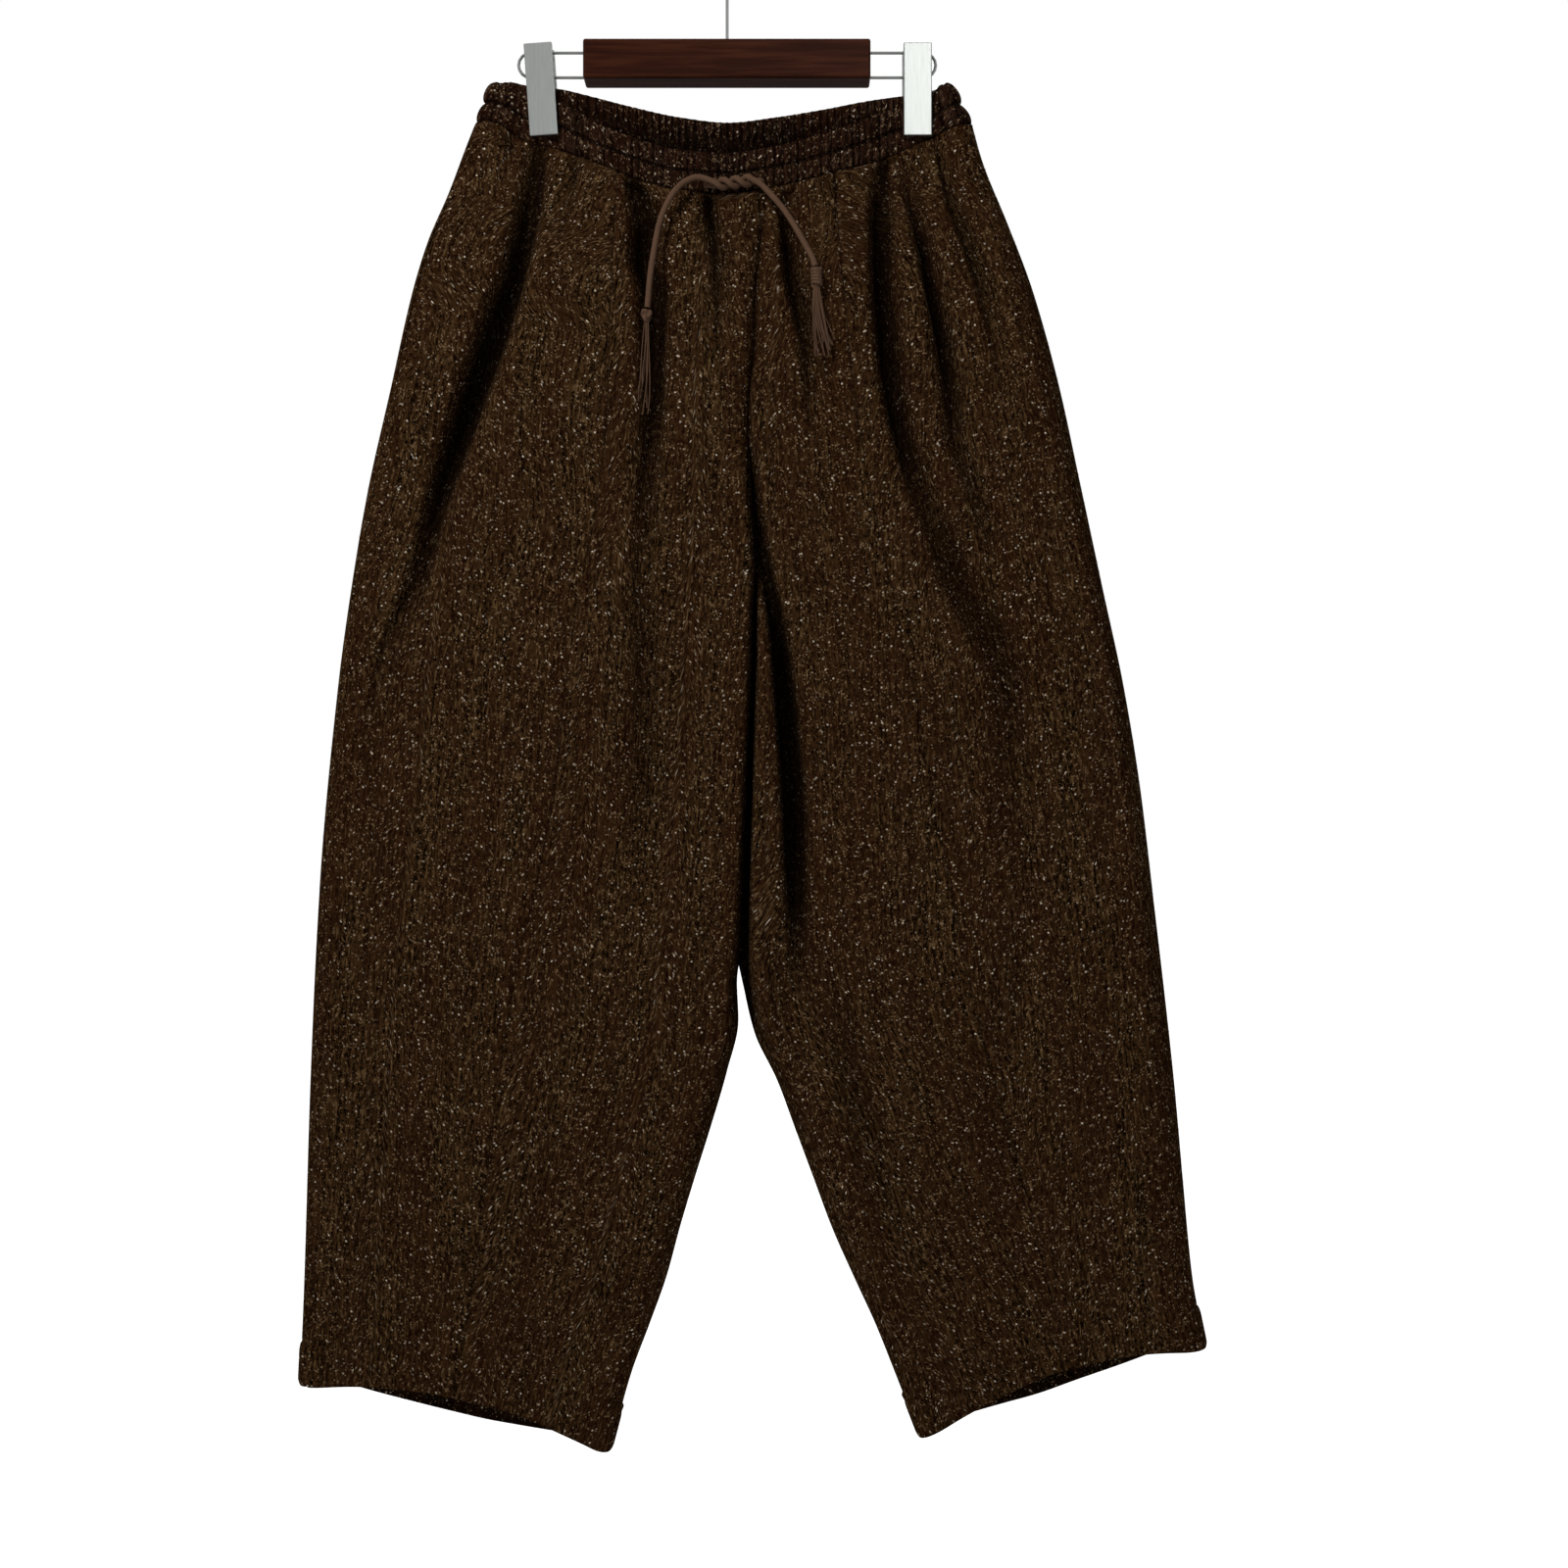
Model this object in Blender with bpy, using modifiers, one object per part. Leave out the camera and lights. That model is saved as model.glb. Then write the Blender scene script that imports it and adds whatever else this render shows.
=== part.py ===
"""Wide tapered tweed trousers, hung by the gathered waistband from a two-clip hanger.

The front faces -Y and +Z is up. The origin is the inside of the top of the hanger's hook.
Left and right are as seen from the front. Tables and sizes are in millimetres.
"""

import math

import bmesh
import bpy
import numpy as np
from mathutils import Matrix, Vector

MM = 0.001
GAP = 0.3
CLOTH_WALL = 1.6
HEM_WALL = 3.4
HEM_SHARE = 0.03
WAISTBAND_WALL = 3.0
RIB_COUNT = 112
RIB_RISE = 0.6
CHANNEL_RISE = 1.0
BAND_TO_PANEL = 1.3
CENTRE_GAP = 0.4
CROTCH_Z = -491.0

CORD_RADIUS = 2.1
TWIST_RADIUS = 2.6
WIRE_RADIUS = 1.1
WIRE_SPACING = 17.6
WIRE_HALF_LENGTH = 149.0
WIRE_Z = -98.5
BAR_SIZE = (204.0, 20.0, 28.0)
BAR_TOP = -92.0
HOOK_BEND = 20.0
CLIP_SIZE = (20.0, 4.0, 66.0)
CLIP_SHEET = 1.0
CORE_SIZE = (7.6, 8.8, 24.0)
CLIP_TOP = -94.5
CLIP_X = {"left": -132.0, "right": 135.5}
CLIP_GRIP = 4.0

# Waistband stations round the waist: x at its top and at its lower seam, half depth there, and heights.
WAIST_FRONT = (
    # x top, x seam, y top, y seam, z top, z seam
    (-164.0, -172.5, -4.2, -5.5, -121.0, -150.0),
    (-155.0, -161.0, -4.8, -6.0, -124.0, -153.0),
    (-146.0, -149.0, -1.8, -1.8, -127.0, -161.0),
    (-120.0, -120.0, -1.8, -1.8, -133.5, -169.5),
    (-100.0, -101.0, -5.0, -6.0, -146.0, -177.0),
    (-70.0, -70.0, -9.5, -11.5, -161.0, -191.0),
    (-35.0, -35.0, -12.5, -14.5, -172.0, -202.0),
    (0.0, 0.0, -13.5, -15.5, -175.0, -205.0),
    (35.0, 35.0, -12.5, -14.5, -169.5, -200.0),
    (70.0, 70.0, -9.5, -11.5, -159.0, -190.5),
    (100.0, 101.0, -5.2, -6.5, -147.0, -181.0),
    (122.0, 123.0, -1.8, -1.8, -137.0, -171.5),
    (149.0, 151.0, -1.8, -1.8, -127.0, -158.5),
    (153.0, 162.0, -4.0, -5.6, -124.0, -154.0),
    (156.5, 169.0, -3.6, -5.0, -121.0, -152.0),
)
WAIST_BACK = (
    (156.5, 169.0, 3.6, 5.0, -120.0, -150.0),
    (153.0, 162.0, 4.0, 5.6, -119.5, -149.0),
    (149.0, 151.0, 1.8, 1.8, -124.0, -153.5),
    (122.0, 123.0, 1.8, 1.8, -129.0, -158.5),
    (100.0, 101.0, 5.0, 6.0, -131.0, -161.0),
    (70.0, 70.0, 9.5, 11.5, -135.0, -165.0),
    (35.0, 35.0, 12.5, 14.5, -139.5, -169.5),
    (0.0, 0.0, 13.5, 15.5, -143.0, -173.0),
    (-35.0, -35.0, 12.5, 14.5, -139.5, -169.5),
    (-70.0, -70.0, 9.5, 11.5, -133.0, -163.0),
    (-100.0, -101.0, 5.0, 6.0, -127.0, -157.0),
    (-120.0, -120.0, 1.8, 1.8, -123.5, -153.5),
    (-146.0, -149.0, 1.8, 1.8, -120.5, -150.5),
    (-155.0, -161.0, 4.6, 6.0, -117.5, -148.0),
    (-164.0, -172.5, 4.2, 5.5, -118.5, -149.0),
)
WAIST_ENDS = ((158.5, 173.0, 0.0, 0.0, -120.5, -151.0), (-167.5, -177.0, 0.0, 0.0, -120.0, -149.5))

# The seam or slit between the halves: centre-front seam down to the crotch, then where the legs part.
PARTING = (
    # z, x
    (-204.0, 21.0),
    (-278.0, 20.0),
    (-344.0, 17.0),
    (-409.0, 19.0),
    (-490.0, 22.0),
    (-550.0, 21.0),
    (-620.0, 18.0),
    (-690.0, 15.0),
    (-744.0, 8.0),
)
INSIDE_LEG = {
    # z, x
    "left": (
        (-762.0, 6.0),
        (-789.0, 7.0),
        (-825.0, -1.0),
        (-866.0, -14.0),
        (-901.0, -29.0),
        (-936.0, -36.0),
        (-971.0, -46.0),
        (-1006.0, -61.0),
        (-1041.0, -72.0),
        (-1094.0, -85.0),
    ),
    "right": (
        (-762.0, 12.0),
        (-796.0, 20.0),
        (-831.0, 38.0),
        (-866.0, 51.0),
        (-901.0, 64.0),
        (-971.0, 93.0),
        (-1041.0, 118.0),
        (-1085.0, 138.0),
    ),
}
OUTSIDE_LEG = {
    # z, x
    "left": (
        (-149.5, -178.0),
        (-166.0, -186.0),
        (-201.0, -199.0),
        (-236.0, -214.0),
        (-271.0, -225.0),
        (-341.0, -240.0),
        (-411.0, -256.0),
        (-481.0, -267.0),
        (-551.0, -276.0),
        (-691.0, -290.0),
        (-831.0, -297.0),
        (-971.0, -301.0),
        (-1046.0, -305.0),
    ),
    "right": (
        (-151.0, 174.0),
        (-177.0, 182.0),
        (-223.0, 202.0),
        (-271.0, 223.0),
        (-341.0, 241.0),
        (-411.0, 257.0),
        (-481.0, 272.0),
        (-551.0, 287.0),
        (-621.0, 297.0),
        (-691.0, 306.0),
        (-831.0, 320.0),
        (-901.0, 323.0),
        (-971.0, 330.0),
        (-1020.0, 342.0),
    ),
}
# Heights of a row's inner and outer ends, by how far down the leg it lies (0 waist seam, 1 hem).
ROW_ENDS = {
    # drop, z inner, z outer
    "left": ((0.0, -204.0, -149.5), (0.33, -491.0, -470.0), (0.61, -744.0, -725.0), (1.0, -1094.0, -1046.0)),
    "right": ((0.0, -204.0, -151.0), (0.33, -491.0, -465.0), (0.61, -744.0, -712.0), (1.0, -1085.0, -1020.0)),
}
# How full the legs hang: half depth of front and back, and how far in the two edges round off.
FULLNESS = (
    # z, front, back, centre depth, inner round, outer round
    (-150.0, 15.0, 15.0, 12.0, 14.0, 12.0),
    (-200.0, 20.0, 20.0, 12.0, 14.0, 15.0),
    (-240.0, 26.0, 26.0, 14.0, 13.0, 19.0),
    (-300.0, 32.0, 33.0, 18.0, 12.0, 23.0),
    (-380.0, 36.0, 39.0, 20.0, 12.0, 26.0),
    (-440.0, 38.0, 41.0, 17.0, 12.0, 27.0),
    (-475.0, 38.0, 41.0, 9.0, 11.0, 28.0),
    (-491.0, 38.0, 41.0, 0.0, 11.0, 28.0),
    (-600.0, 38.0, 40.0, 0.0, 11.0, 28.0),
    (-744.0, 37.0, 38.0, 0.0, 14.0, 28.0),
    (-830.0, 34.0, 35.0, 0.0, 22.0, 27.0),
    (-930.0, 27.0, 28.0, 0.0, 24.0, 24.0),
    (-1040.0, 17.0, 18.0, 0.0, 20.0, 19.0),
    (-1100.0, 14.0, 15.0, 0.0, 18.0, 17.0),
)
# Folds that hang from the gathers, from the parting outwards.
FOLDS = {
    ("left", "front"): {
        # z, x, half width, depth
        "centre tuck": ((-205.0, -18.0, 8.0, 5.0), (-240.0, -16.0, 8.0, 5.0), (-320.0, -14.0, 8.0, 0.0)),
        "inner fold": (
            (-196.0, -66.0, 12.0, 9.0),
            (-244.0, -62.0, 14.0, 14.0),
            (-290.0, -60.0, 14.0, 13.0),
            (-346.0, -57.0, 11.0, 9.0),
            (-415.0, -58.0, 10.0, 5.0),
            (-480.0, -60.0, 10.0, 0.0),
        ),
        "outer fold": (
            (-168.0, -134.0, 12.0, 11.0),
            (-196.0, -136.0, 11.0, 14.0),
            (-256.0, -147.0, 12.0, 17.0),
            (-304.0, -162.0, 15.0, 19.0),
            (-362.0, -181.0, 15.0, 17.0),
            (-435.0, -203.0, 13.0, 11.0),
            (-475.0, -214.0, 12.0, 7.0),
            (-545.0, -228.0, 12.0, 0.0),
        ),
    },
    ("right", "front"): {
        "flap fold": (
            (-400.0, 38.0, 9.0, 0.0),
            (-456.0, 36.0, 9.0, 10.0),
            (-497.0, 38.0, 9.0, 15.0),
            (-547.0, 42.0, 10.0, 18.0),
            (-634.0, 47.0, 11.0, 20.0),
            (-689.0, 50.0, 11.0, 14.0),
            (-740.0, 53.0, 11.0, 5.0),
            (-800.0, 58.0, 11.0, 0.0),
        ),
        "centre tuck": ((-199.0, 50.0, 11.0, 5.0), (-260.0, 50.0, 12.0, 7.0), (-380.0, 58.0, 12.0, 0.0)),
        "inner fold": (
            (-185.0, 96.0, 9.0, 7.0),
            (-223.0, 101.0, 12.0, 13.0),
            (-298.0, 103.0, 13.0, 13.0),
            (-360.0, 107.0, 12.0, 9.0),
            (-429.0, 117.0, 11.0, 5.0),
            (-510.0, 128.0, 11.0, 0.0),
        ),
        "outer fold": (
            (-172.0, 122.0, 8.0, 5.0),
            (-219.0, 130.0, 8.0, 10.0),
            (-285.0, 141.0, 9.0, 11.0),
            (-360.0, 152.0, 11.0, 9.0),
            (-429.0, 174.0, 13.0, 6.0),
            (-497.0, 190.0, 14.0, 3.0),
            (-600.0, 204.0, 14.0, 0.0),
        ),
        "side tuck": (
            (-162.0, 147.0, 6.0, 3.0),
            (-210.0, 156.0, 7.0, 8.0),
            (-248.0, 170.0, 9.0, 8.0),
            (-290.0, 184.0, 10.0, 5.0),
            (-370.0, 200.0, 10.0, 0.0),
        ),
    },
    ("left", "back"): {
        "centre tuck": ((-172.0, -30.0, 12.0, 5.0), (-250.0, -31.0, 14.0, 9.0), (-380.0, -34.0, 14.0, 0.0)),
        "inner fold": ((-166.0, -84.0, 14.0, 7.0), (-270.0, -92.0, 16.0, 13.0), (-480.0, -110.0, 16.0, 0.0)),
        "outer fold": (
            (-150.0, -136.0, 11.0, 8.0),
            (-290.0, -160.0, 16.0, 15.0),
            (-420.0, -188.0, 16.0, 8.0),
            (-560.0, -210.0, 16.0, 0.0),
        ),
    },
    ("right", "back"): {
        "centre tuck": ((-171.0, 52.0, 12.0, 6.0), (-250.0, 55.0, 14.0, 11.0), (-420.0, 64.0, 14.0, 0.0)),
        "inner fold": ((-163.0, 100.0, 12.0, 6.0), (-260.0, 108.0, 15.0, 13.0), (-450.0, 128.0, 15.0, 0.0)),
        "outer fold": (
            (-152.0, 140.0, 9.0, 5.0),
            (-270.0, 164.0, 14.0, 12.0),
            (-400.0, 196.0, 15.0, 6.0),
            (-520.0, 214.0, 15.0, 0.0),
        ),
    },
}
# Seam down the middle of each front leg.
LEG_SEAM = {
    # z, x
    "left": (
        (-200.0, -77.0),
        (-290.0, -80.0),
        (-363.0, -82.0),
        (-430.0, -90.0),
        (-489.0, -101.0),
        (-553.0, -111.0),
        (-614.0, -117.0),
        (-678.0, -128.0),
        (-743.0, -143.0),
        (-830.0, -158.0),
        (-902.0, -167.0),
        (-1006.0, -183.0),
        (-1090.0, -202.0),
    ),
    "right": (
        (-188.0, 76.0),
        (-281.0, 83.0),
        (-363.0, 92.0),
        (-430.0, 104.0),
        (-489.0, 117.0),
        (-553.0, 131.0),
        (-614.0, 143.0),
        (-682.0, 155.0),
        (-743.0, 167.0),
        (-796.0, 179.0),
        (-865.0, 199.0),
        (-906.0, 210.0),
        (-972.0, 227.0),
        (-1060.0, 250.0),
    ),
}
# How far in from the side fold the side seam lies, and which face it lies on.
SIDE_SEAM_IN = 7.0
SIDE_SEAM_FACE = {"left": "front", "right": "back"}
POCKET_TOP = -207.0
POCKET_BOTTOM = -341.0
POCKET_MOUTH = 1.6
POCKET_WIDTH = 30.0
ROW_DROPS = (
    0.0, 0.006, 0.018, 0.036, 0.06, 0.09, 0.125, 0.165, 0.21, 0.255, 0.295, 0.318, 0.335,
    0.38, 0.44, 0.505, 0.565, 0.61, 0.655, 0.72, 0.79, 0.86, 0.93, 0.972, 1.0,
)
INNER_COLUMNS = (0.0, 1.2, 4.5, 11.0)
OUTER_COLUMNS = (26.0, 14.0, SIDE_SEAM_IN, 1.5, 0.0)
WIDEST_STEP = 40.0
CLOSEST_STEP = 2.0


def clear_scene():
    for obj in list(bpy.data.objects):
        bpy.data.objects.remove(obj, do_unlink=True)


def new_collection(name, hidden=False):
    found = bpy.data.collections.new(name)
    bpy.context.scene.collection.children.link(found)
    found.hide_render = hidden
    return found


def material(name, colour, roughness, metallic=0.0):
    made = bpy.data.materials.new(name)
    made.use_nodes = True
    shader = made.node_tree.nodes["Principled BSDF"]
    shader.inputs["Base Color"].default_value = (*colour, 1.0)
    shader.inputs["Roughness"].default_value = roughness
    shader.inputs["Metallic"].default_value = metallic
    made.diffuse_color = (*colour, 1.0)
    return made


def follow(rows, at):
    """The table's values at this key, eased from row to row without running past either."""
    rows = np.array(sorted(rows), float)
    key = rows[:, 0]
    value = rows[:, 1:]
    slope = np.diff(value, axis=0) / np.diff(key)[:, None]
    before = slope[:-1]
    after = slope[1:]
    total = np.where(before * after > 0, before + after, 1.0)
    tangent = np.vstack([slope[:1], np.where(before * after > 0, 2 * before * after / total, 0.0), slope[-1:]])
    at = min(max(float(at), key[0]), key[-1])
    row = min(int(np.searchsorted(key, at, side="right")) - 1, len(key) - 2)
    span = key[row + 1] - key[row]
    t = (at - key[row]) / span
    rise = t * t * (3 - 2 * t)
    start = t * (1 - t) ** 2 * span
    stop = t * t * (t - 1) * span
    found = value[row] * (1 - rise) + value[row + 1] * rise + tangent[row] * start + tangent[row + 1] * stop
    return found if len(found) > 1 else float(found[0])


def smooth_step(t):
    t = min(max(t, 0.0), 1.0)
    return t * t * (3 - 2 * t)


def quarter_round(distance, radius):
    """Rises from 0 at the edge to 1 once past the radius, as the side of an ellipse does."""
    t = min(max(distance / radius, 0.0), 1.0)
    return math.sqrt(1 - (1 - t) ** 2)


def inner_edge(side, z):
    own = CENTRE_GAP / 2 if side == "right" else -CENTRE_GAP / 2
    if z > PARTING[-1][0]:
        return follow(PARTING, z) + own
    first = (PARTING[-1][0], PARTING[-1][1] + own)
    return follow((first, *INSIDE_LEG[side]), z)


def waist_ring():
    """Even steps round the middle of the waistband's wall, as (top, seam) pairs of points."""
    left_end = WAIST_ENDS[1]
    right_end = WAIST_ENDS[0]
    stations = np.array([left_end, *WAIST_FRONT, right_end, *WAIST_BACK, left_end])
    length = np.concatenate([[0], np.cumsum(np.linalg.norm(np.diff(stations[:, [0, 2]], axis=0), axis=1))])
    count = RIB_COUNT * 2
    rows = [(a, *b) for a, b in zip(length, stations)]
    found = [follow(rows, length[-1] * i / count) for i in range(count)]
    tops = np.array([(f[0], f[2], f[4]) for f in found])
    seams = np.array([(f[1], f[3], f[5]) for f in found])
    return tops, seams


def waist_seam(face, x):
    """(y, z) of the waistband's lower edge at this x."""
    seams = WAIST_RING[1]
    x = min(max(x, WAIST_ENDS[1][1] + 6.0), WAIST_ENDS[0][1] - 6.0)
    edge = seams[seams[:, 1] < 0.0] if face == "front" else seams[seams[:, 1] > 0.0][::-1]
    return np.interp(x, edge[:, 0], edge[:, 1]), np.interp(x, edge[:, 0], edge[:, 2])


def row_ends(side, drop):
    z_inner, z_outer = follow(ROW_ENDS[side], drop)
    return inner_edge(side, z_inner), z_inner, follow(OUTSIDE_LEG[side], z_outer), z_outer


def front_view(side, face, share, drop):
    """(x, z) of the wall, share 0 at the inner edge of its row and 1 at the side fold."""
    x_inner, z_inner, x_outer, z_outer = row_ends(side, drop)
    x = x_inner + (x_outer - x_inner) * share
    z = z_inner + (z_outer - z_inner) * share
    top_inner, top_outer = row_ends(side, 0.0)[1::2]
    straight = top_inner + (top_outer - top_inner) * share
    sag = waist_seam(face, x)[1] - BAND_TO_PANEL - straight
    z += sag * (1 - smooth_step(drop / 0.2))
    hem_sag = 6.0 if face == "front" else -7.0
    z += hem_sag * 4 * share * (1 - share) * smooth_step((drop - 0.8) / 0.2)
    return x, z


def fold_depth(side, face, x, z):
    depth = 0.0
    for rows in FOLDS[side, face].values():
        if z < min(rows)[0]:
            continue
        centre, half, deep = follow(rows, z)
        reach = abs(x - centre) / half
        if reach < 1.5:
            depth += deep * math.exp(-2.2 * reach * reach)
    return depth


def clip_limit(side, x, z):
    """How far from the middle the cloth may stand where a clip's jaws press it."""
    beside = smooth_step((abs(x - CLIP_X[side]) - 19.0) / 16.0)
    below = smooth_step((CLIP_TOP - CLIP_SIZE[2] - 6.0 - z) / 18.0)
    return CLIP_GRIP + 30.0 * max(beside, below)


def wall_point(side, face, share, drop):
    """The outer face of the cloth."""
    x, z = front_view(side, face, share, drop)
    x_inner, _, x_outer, _ = row_ends(side, drop)
    width = abs(x_outer - x_inner)
    front, back, centre, inner_round, outer_round = follow(FULLNESS, z)
    full = front if face == "front" else back
    rounded = centre / full + (1 - centre / full) * quarter_round(share * width, inner_round)
    body = full * rounded * quarter_round((1 - share) * width, outer_round)
    seam = abs(waist_seam(face, x)[0]) + 0.8
    seam *= quarter_round((1 - share) * width, 6.0)
    from_seam = 1 - (1 - min(drop / 0.1, 1.0)) ** 2
    base = seam + (body - seam) * from_seam
    depth = fold_depth(side, face, x, z) * quarter_round((1 - share) * width, outer_round)
    depth *= 0.35 + 0.65 * smooth_step(drop / 0.03)
    least = min(base, 3.0)
    spare = base - depth - least
    held = least + 0.5 * (spare + math.sqrt(spare * spare + 2.0)) if depth > 0.01 else base
    held = min(held, base, clip_limit(side, x, z))
    return Vector((x, -held if face == "front" else held, z))


def share_at(side, face, path, drop, beside=0.0):
    """Where a fold or seam crosses this row, moved sideways by some of its half width."""
    share = 0.5
    for _ in range(3):
        x, z = front_view(side, face, share, drop)
        found = follow(path, z)
        centre = found if isinstance(found, float) else found[0] + beside * found[1]
        x_inner, _, x_outer, _ = row_ends(side, drop)
        share = (centre - x_inner) / (x_outer - x_inner)
        share = min(max(share, 0.02), 0.95)
    return share


def face_columns(side, face):
    """Distances of this face's columns from the inner edge, a row of them for each drop, and the seam's column."""
    outward = 1.0 if side == "right" else -1.0
    paths = [("inner", step, None) for step in INNER_COLUMNS]
    for name, rows in FOLDS[side, face].items():
        deep = max(row[3] for row in rows)
        steps = (-1.0, -0.45, 0.0, 0.45, 1.0) if deep > 13.5 and face == "front" else (-0.9, 0.0, 0.9)
        paths += [("fold", outward * step, rows) for step in steps]
    if face == "front":
        paths.append(("seam", 0.0, LEG_SEAM[side]))
    paths += [("outer", step, None) for step in OUTER_COLUMNS]
    table = []
    for drop in ROW_DROPS:
        x_inner, _, x_outer, _ = row_ends(side, drop)
        width = abs(x_outer - x_inner)
        row = []
        for kind, step, path in paths:
            if kind == "inner":
                row.append(step)
            elif kind == "outer":
                row.append(width - step * min(1.0, 0.45 + 6 * drop))
            else:
                row.append(width * share_at(side, face, path, drop, step))
        table.append(row)
    table = np.array(table)
    order = np.argsort(table[6:16].mean(axis=0), kind="stable")
    kinds = [paths[i][0] for i in order]
    table = table[:, order]
    for row in table:
        for i in range(1, len(row)):
            least = 1.0 if kinds[i] == "inner" else CLOSEST_STEP
            row[i] = max(row[i], row[i - 1] + least)
        for i in range(len(row) - 2, -1, -1):
            least = 1.2 if kinds[i] == "outer" else CLOSEST_STEP
            row[i] = min(row[i], row[i + 1] - least) if kinds[i] != "inner" else row[i]
    columns = []
    seam = None
    for i in range(table.shape[1]):
        if i:
            step = table[:, i] - table[:, i - 1]
            extra = math.ceil(step.max() / WIDEST_STEP) - 1
            for k in range(extra):
                columns.append(table[:, i - 1] + step * (k + 1) / (extra + 1))
        if kinds[i] == "seam":
            seam = len(columns)
        columns.append(table[:, i])
    return np.array(columns).T, seam


def leg_grid(side):
    """The leg's outer face as rows down the leg, columns from the front parting round the side to the back."""
    front, leg_seam = face_columns(side, "front")
    back, _ = face_columns(side, "back")
    rows = []
    for drop, near, far in zip(ROW_DROPS, front, back):
        x_inner, _, x_outer, _ = row_ends(side, drop)
        width = abs(x_outer - x_inner)
        places = [("front", distance / width) for distance in near]
        places += [("back", distance / width) for distance in far[-2::-1]]
        rows.append([wall_point(side, face, share, drop) for face, share in places])
    grid = np.array(rows)
    last_front = front.shape[1] - 1
    beside = len(OUTER_COLUMNS) - 1 - OUTER_COLUMNS.index(SIDE_SEAM_IN)
    side_seam = last_front - beside if SIDE_SEAM_FACE[side] == "front" else last_front + beside
    return grid, leg_seam, side_seam


def outward(grid, side):
    """The cloth's outward direction at each point; front and back share it along the closed inside leg."""
    across = grid[:-1, 1:] - grid[1:, :-1]
    down = grid[1:, 1:] - grid[:-1, :-1]
    flat = np.cross(down, across) if side == "right" else np.cross(across, down)
    flat /= np.linalg.norm(flat, axis=2, keepdims=True)
    total = np.zeros(grid.shape)
    for r in (0, 1):
        for c in (0, 1):
            total[r : r + flat.shape[0], c : c + flat.shape[1]] += flat
    closed = np.array([z < CROTCH_Z + 1.0 for z in grid[:, 0, 2]])
    both = total[closed, 0] + total[closed, -1]
    total[closed, 0] = both
    total[closed, -1] = both
    return total / np.linalg.norm(total, axis=2, keepdims=True)


def cloth_panel(name, outer, inner, paint, home, first=0.0, last=0.0, flip=False):
    """A closed wall between two grids of points, its first and last columns drawn back by the seam gap."""
    outer = outer.copy()
    inner = inner.copy()
    for edge, beside, amount in ((0, 1, first), (-1, -2, last)):
        run = outer[:, beside] - outer[:, edge]
        long = np.linalg.norm(run, axis=1, keepdims=True)
        shift = run / long * np.minimum(np.reshape(amount, (-1, 1)), 0.6 * long)
        outer[:, edge] += shift
        inner[:, edge] += shift
    rows, columns = outer.shape[:2]
    half = rows * columns
    faces = []
    for r in range(rows - 1):
        for c in range(columns - 1):
            corner = r * columns + c
            face = (corner, corner + columns, corner + columns + 1, corner + 1)
            faces.append(face)
            faces.append(tuple(point + half for point in face[::-1]))
    rim = [c for c in range(columns)]
    rim += [r * columns + columns - 1 for r in range(1, rows)]
    rim += [(rows - 1) * columns + c for c in range(columns - 2, -1, -1)]
    rim += [r * columns for r in range(rows - 2, 0, -1)]
    for point, after in zip(rim, rim[1:] + rim[:1]):
        faces.append((point, after, after + half, point + half))
    if flip:
        faces = [face[::-1] for face in faces]
    mesh = bpy.data.meshes.new(name)
    mesh.from_pydata([Vector(p) * MM for grid in (outer, inner) for p in grid.reshape(-1, 3)], [], faces)
    mesh.materials.append(paint)
    obj = bpy.data.objects.new(name, mesh)
    home.objects.link(obj)
    return obj


def build_leg(side, paint, home):
    outer, leg_seam, side_seam = leg_grid(side)
    out = outward(outer, side)
    wall = np.array([HEM_WALL if 1 - drop < HEM_SHARE else CLOTH_WALL for drop in ROW_DROPS])
    inner = outer - out * wall[:, None, None]
    flip = side == "left"
    half = GAP / 2
    heights = outer[:, side_seam, 2]
    mouth = (heights < POCKET_TOP) & (heights > POCKET_BOTTOM)
    open_edge = np.where(mouth, POCKET_MOUTH, half)
    pieces = (
        ("front_inner_", slice(0, leg_seam + 1), half, half),
        ("front_outer_", slice(leg_seam, side_seam + 1), half, open_edge),
        ("back_", slice(side_seam, None), half, half),
    )
    for name, columns, first, last in pieces:
        cloth_panel(name + side, outer[:, columns], inner[:, columns], paint, home, first, last, flip)
    # The pocket's facing goes on from the back's edge, under the front, and shows in the mouth.
    rows = np.flatnonzero(mouth)
    rows = range(rows[0] - 1, rows[-1] + 2)
    reach = np.linalg.norm(outer[rows[2]] - outer[rows[2], side_seam], axis=1)
    columns = [c for c in range(leg_seam + 1, side_seam + 1) if reach[c] < POCKET_WIDTH]
    under = np.ix_(rows, columns)
    top = (outer - out * (CLOTH_WALL + 0.6))[under]
    bottom = (outer - out * (CLOTH_WALL + 1.8))[under]
    cloth_panel("pocket_facing_" + side, top, bottom, paint, home, 0.0, 0.0, flip)


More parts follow.
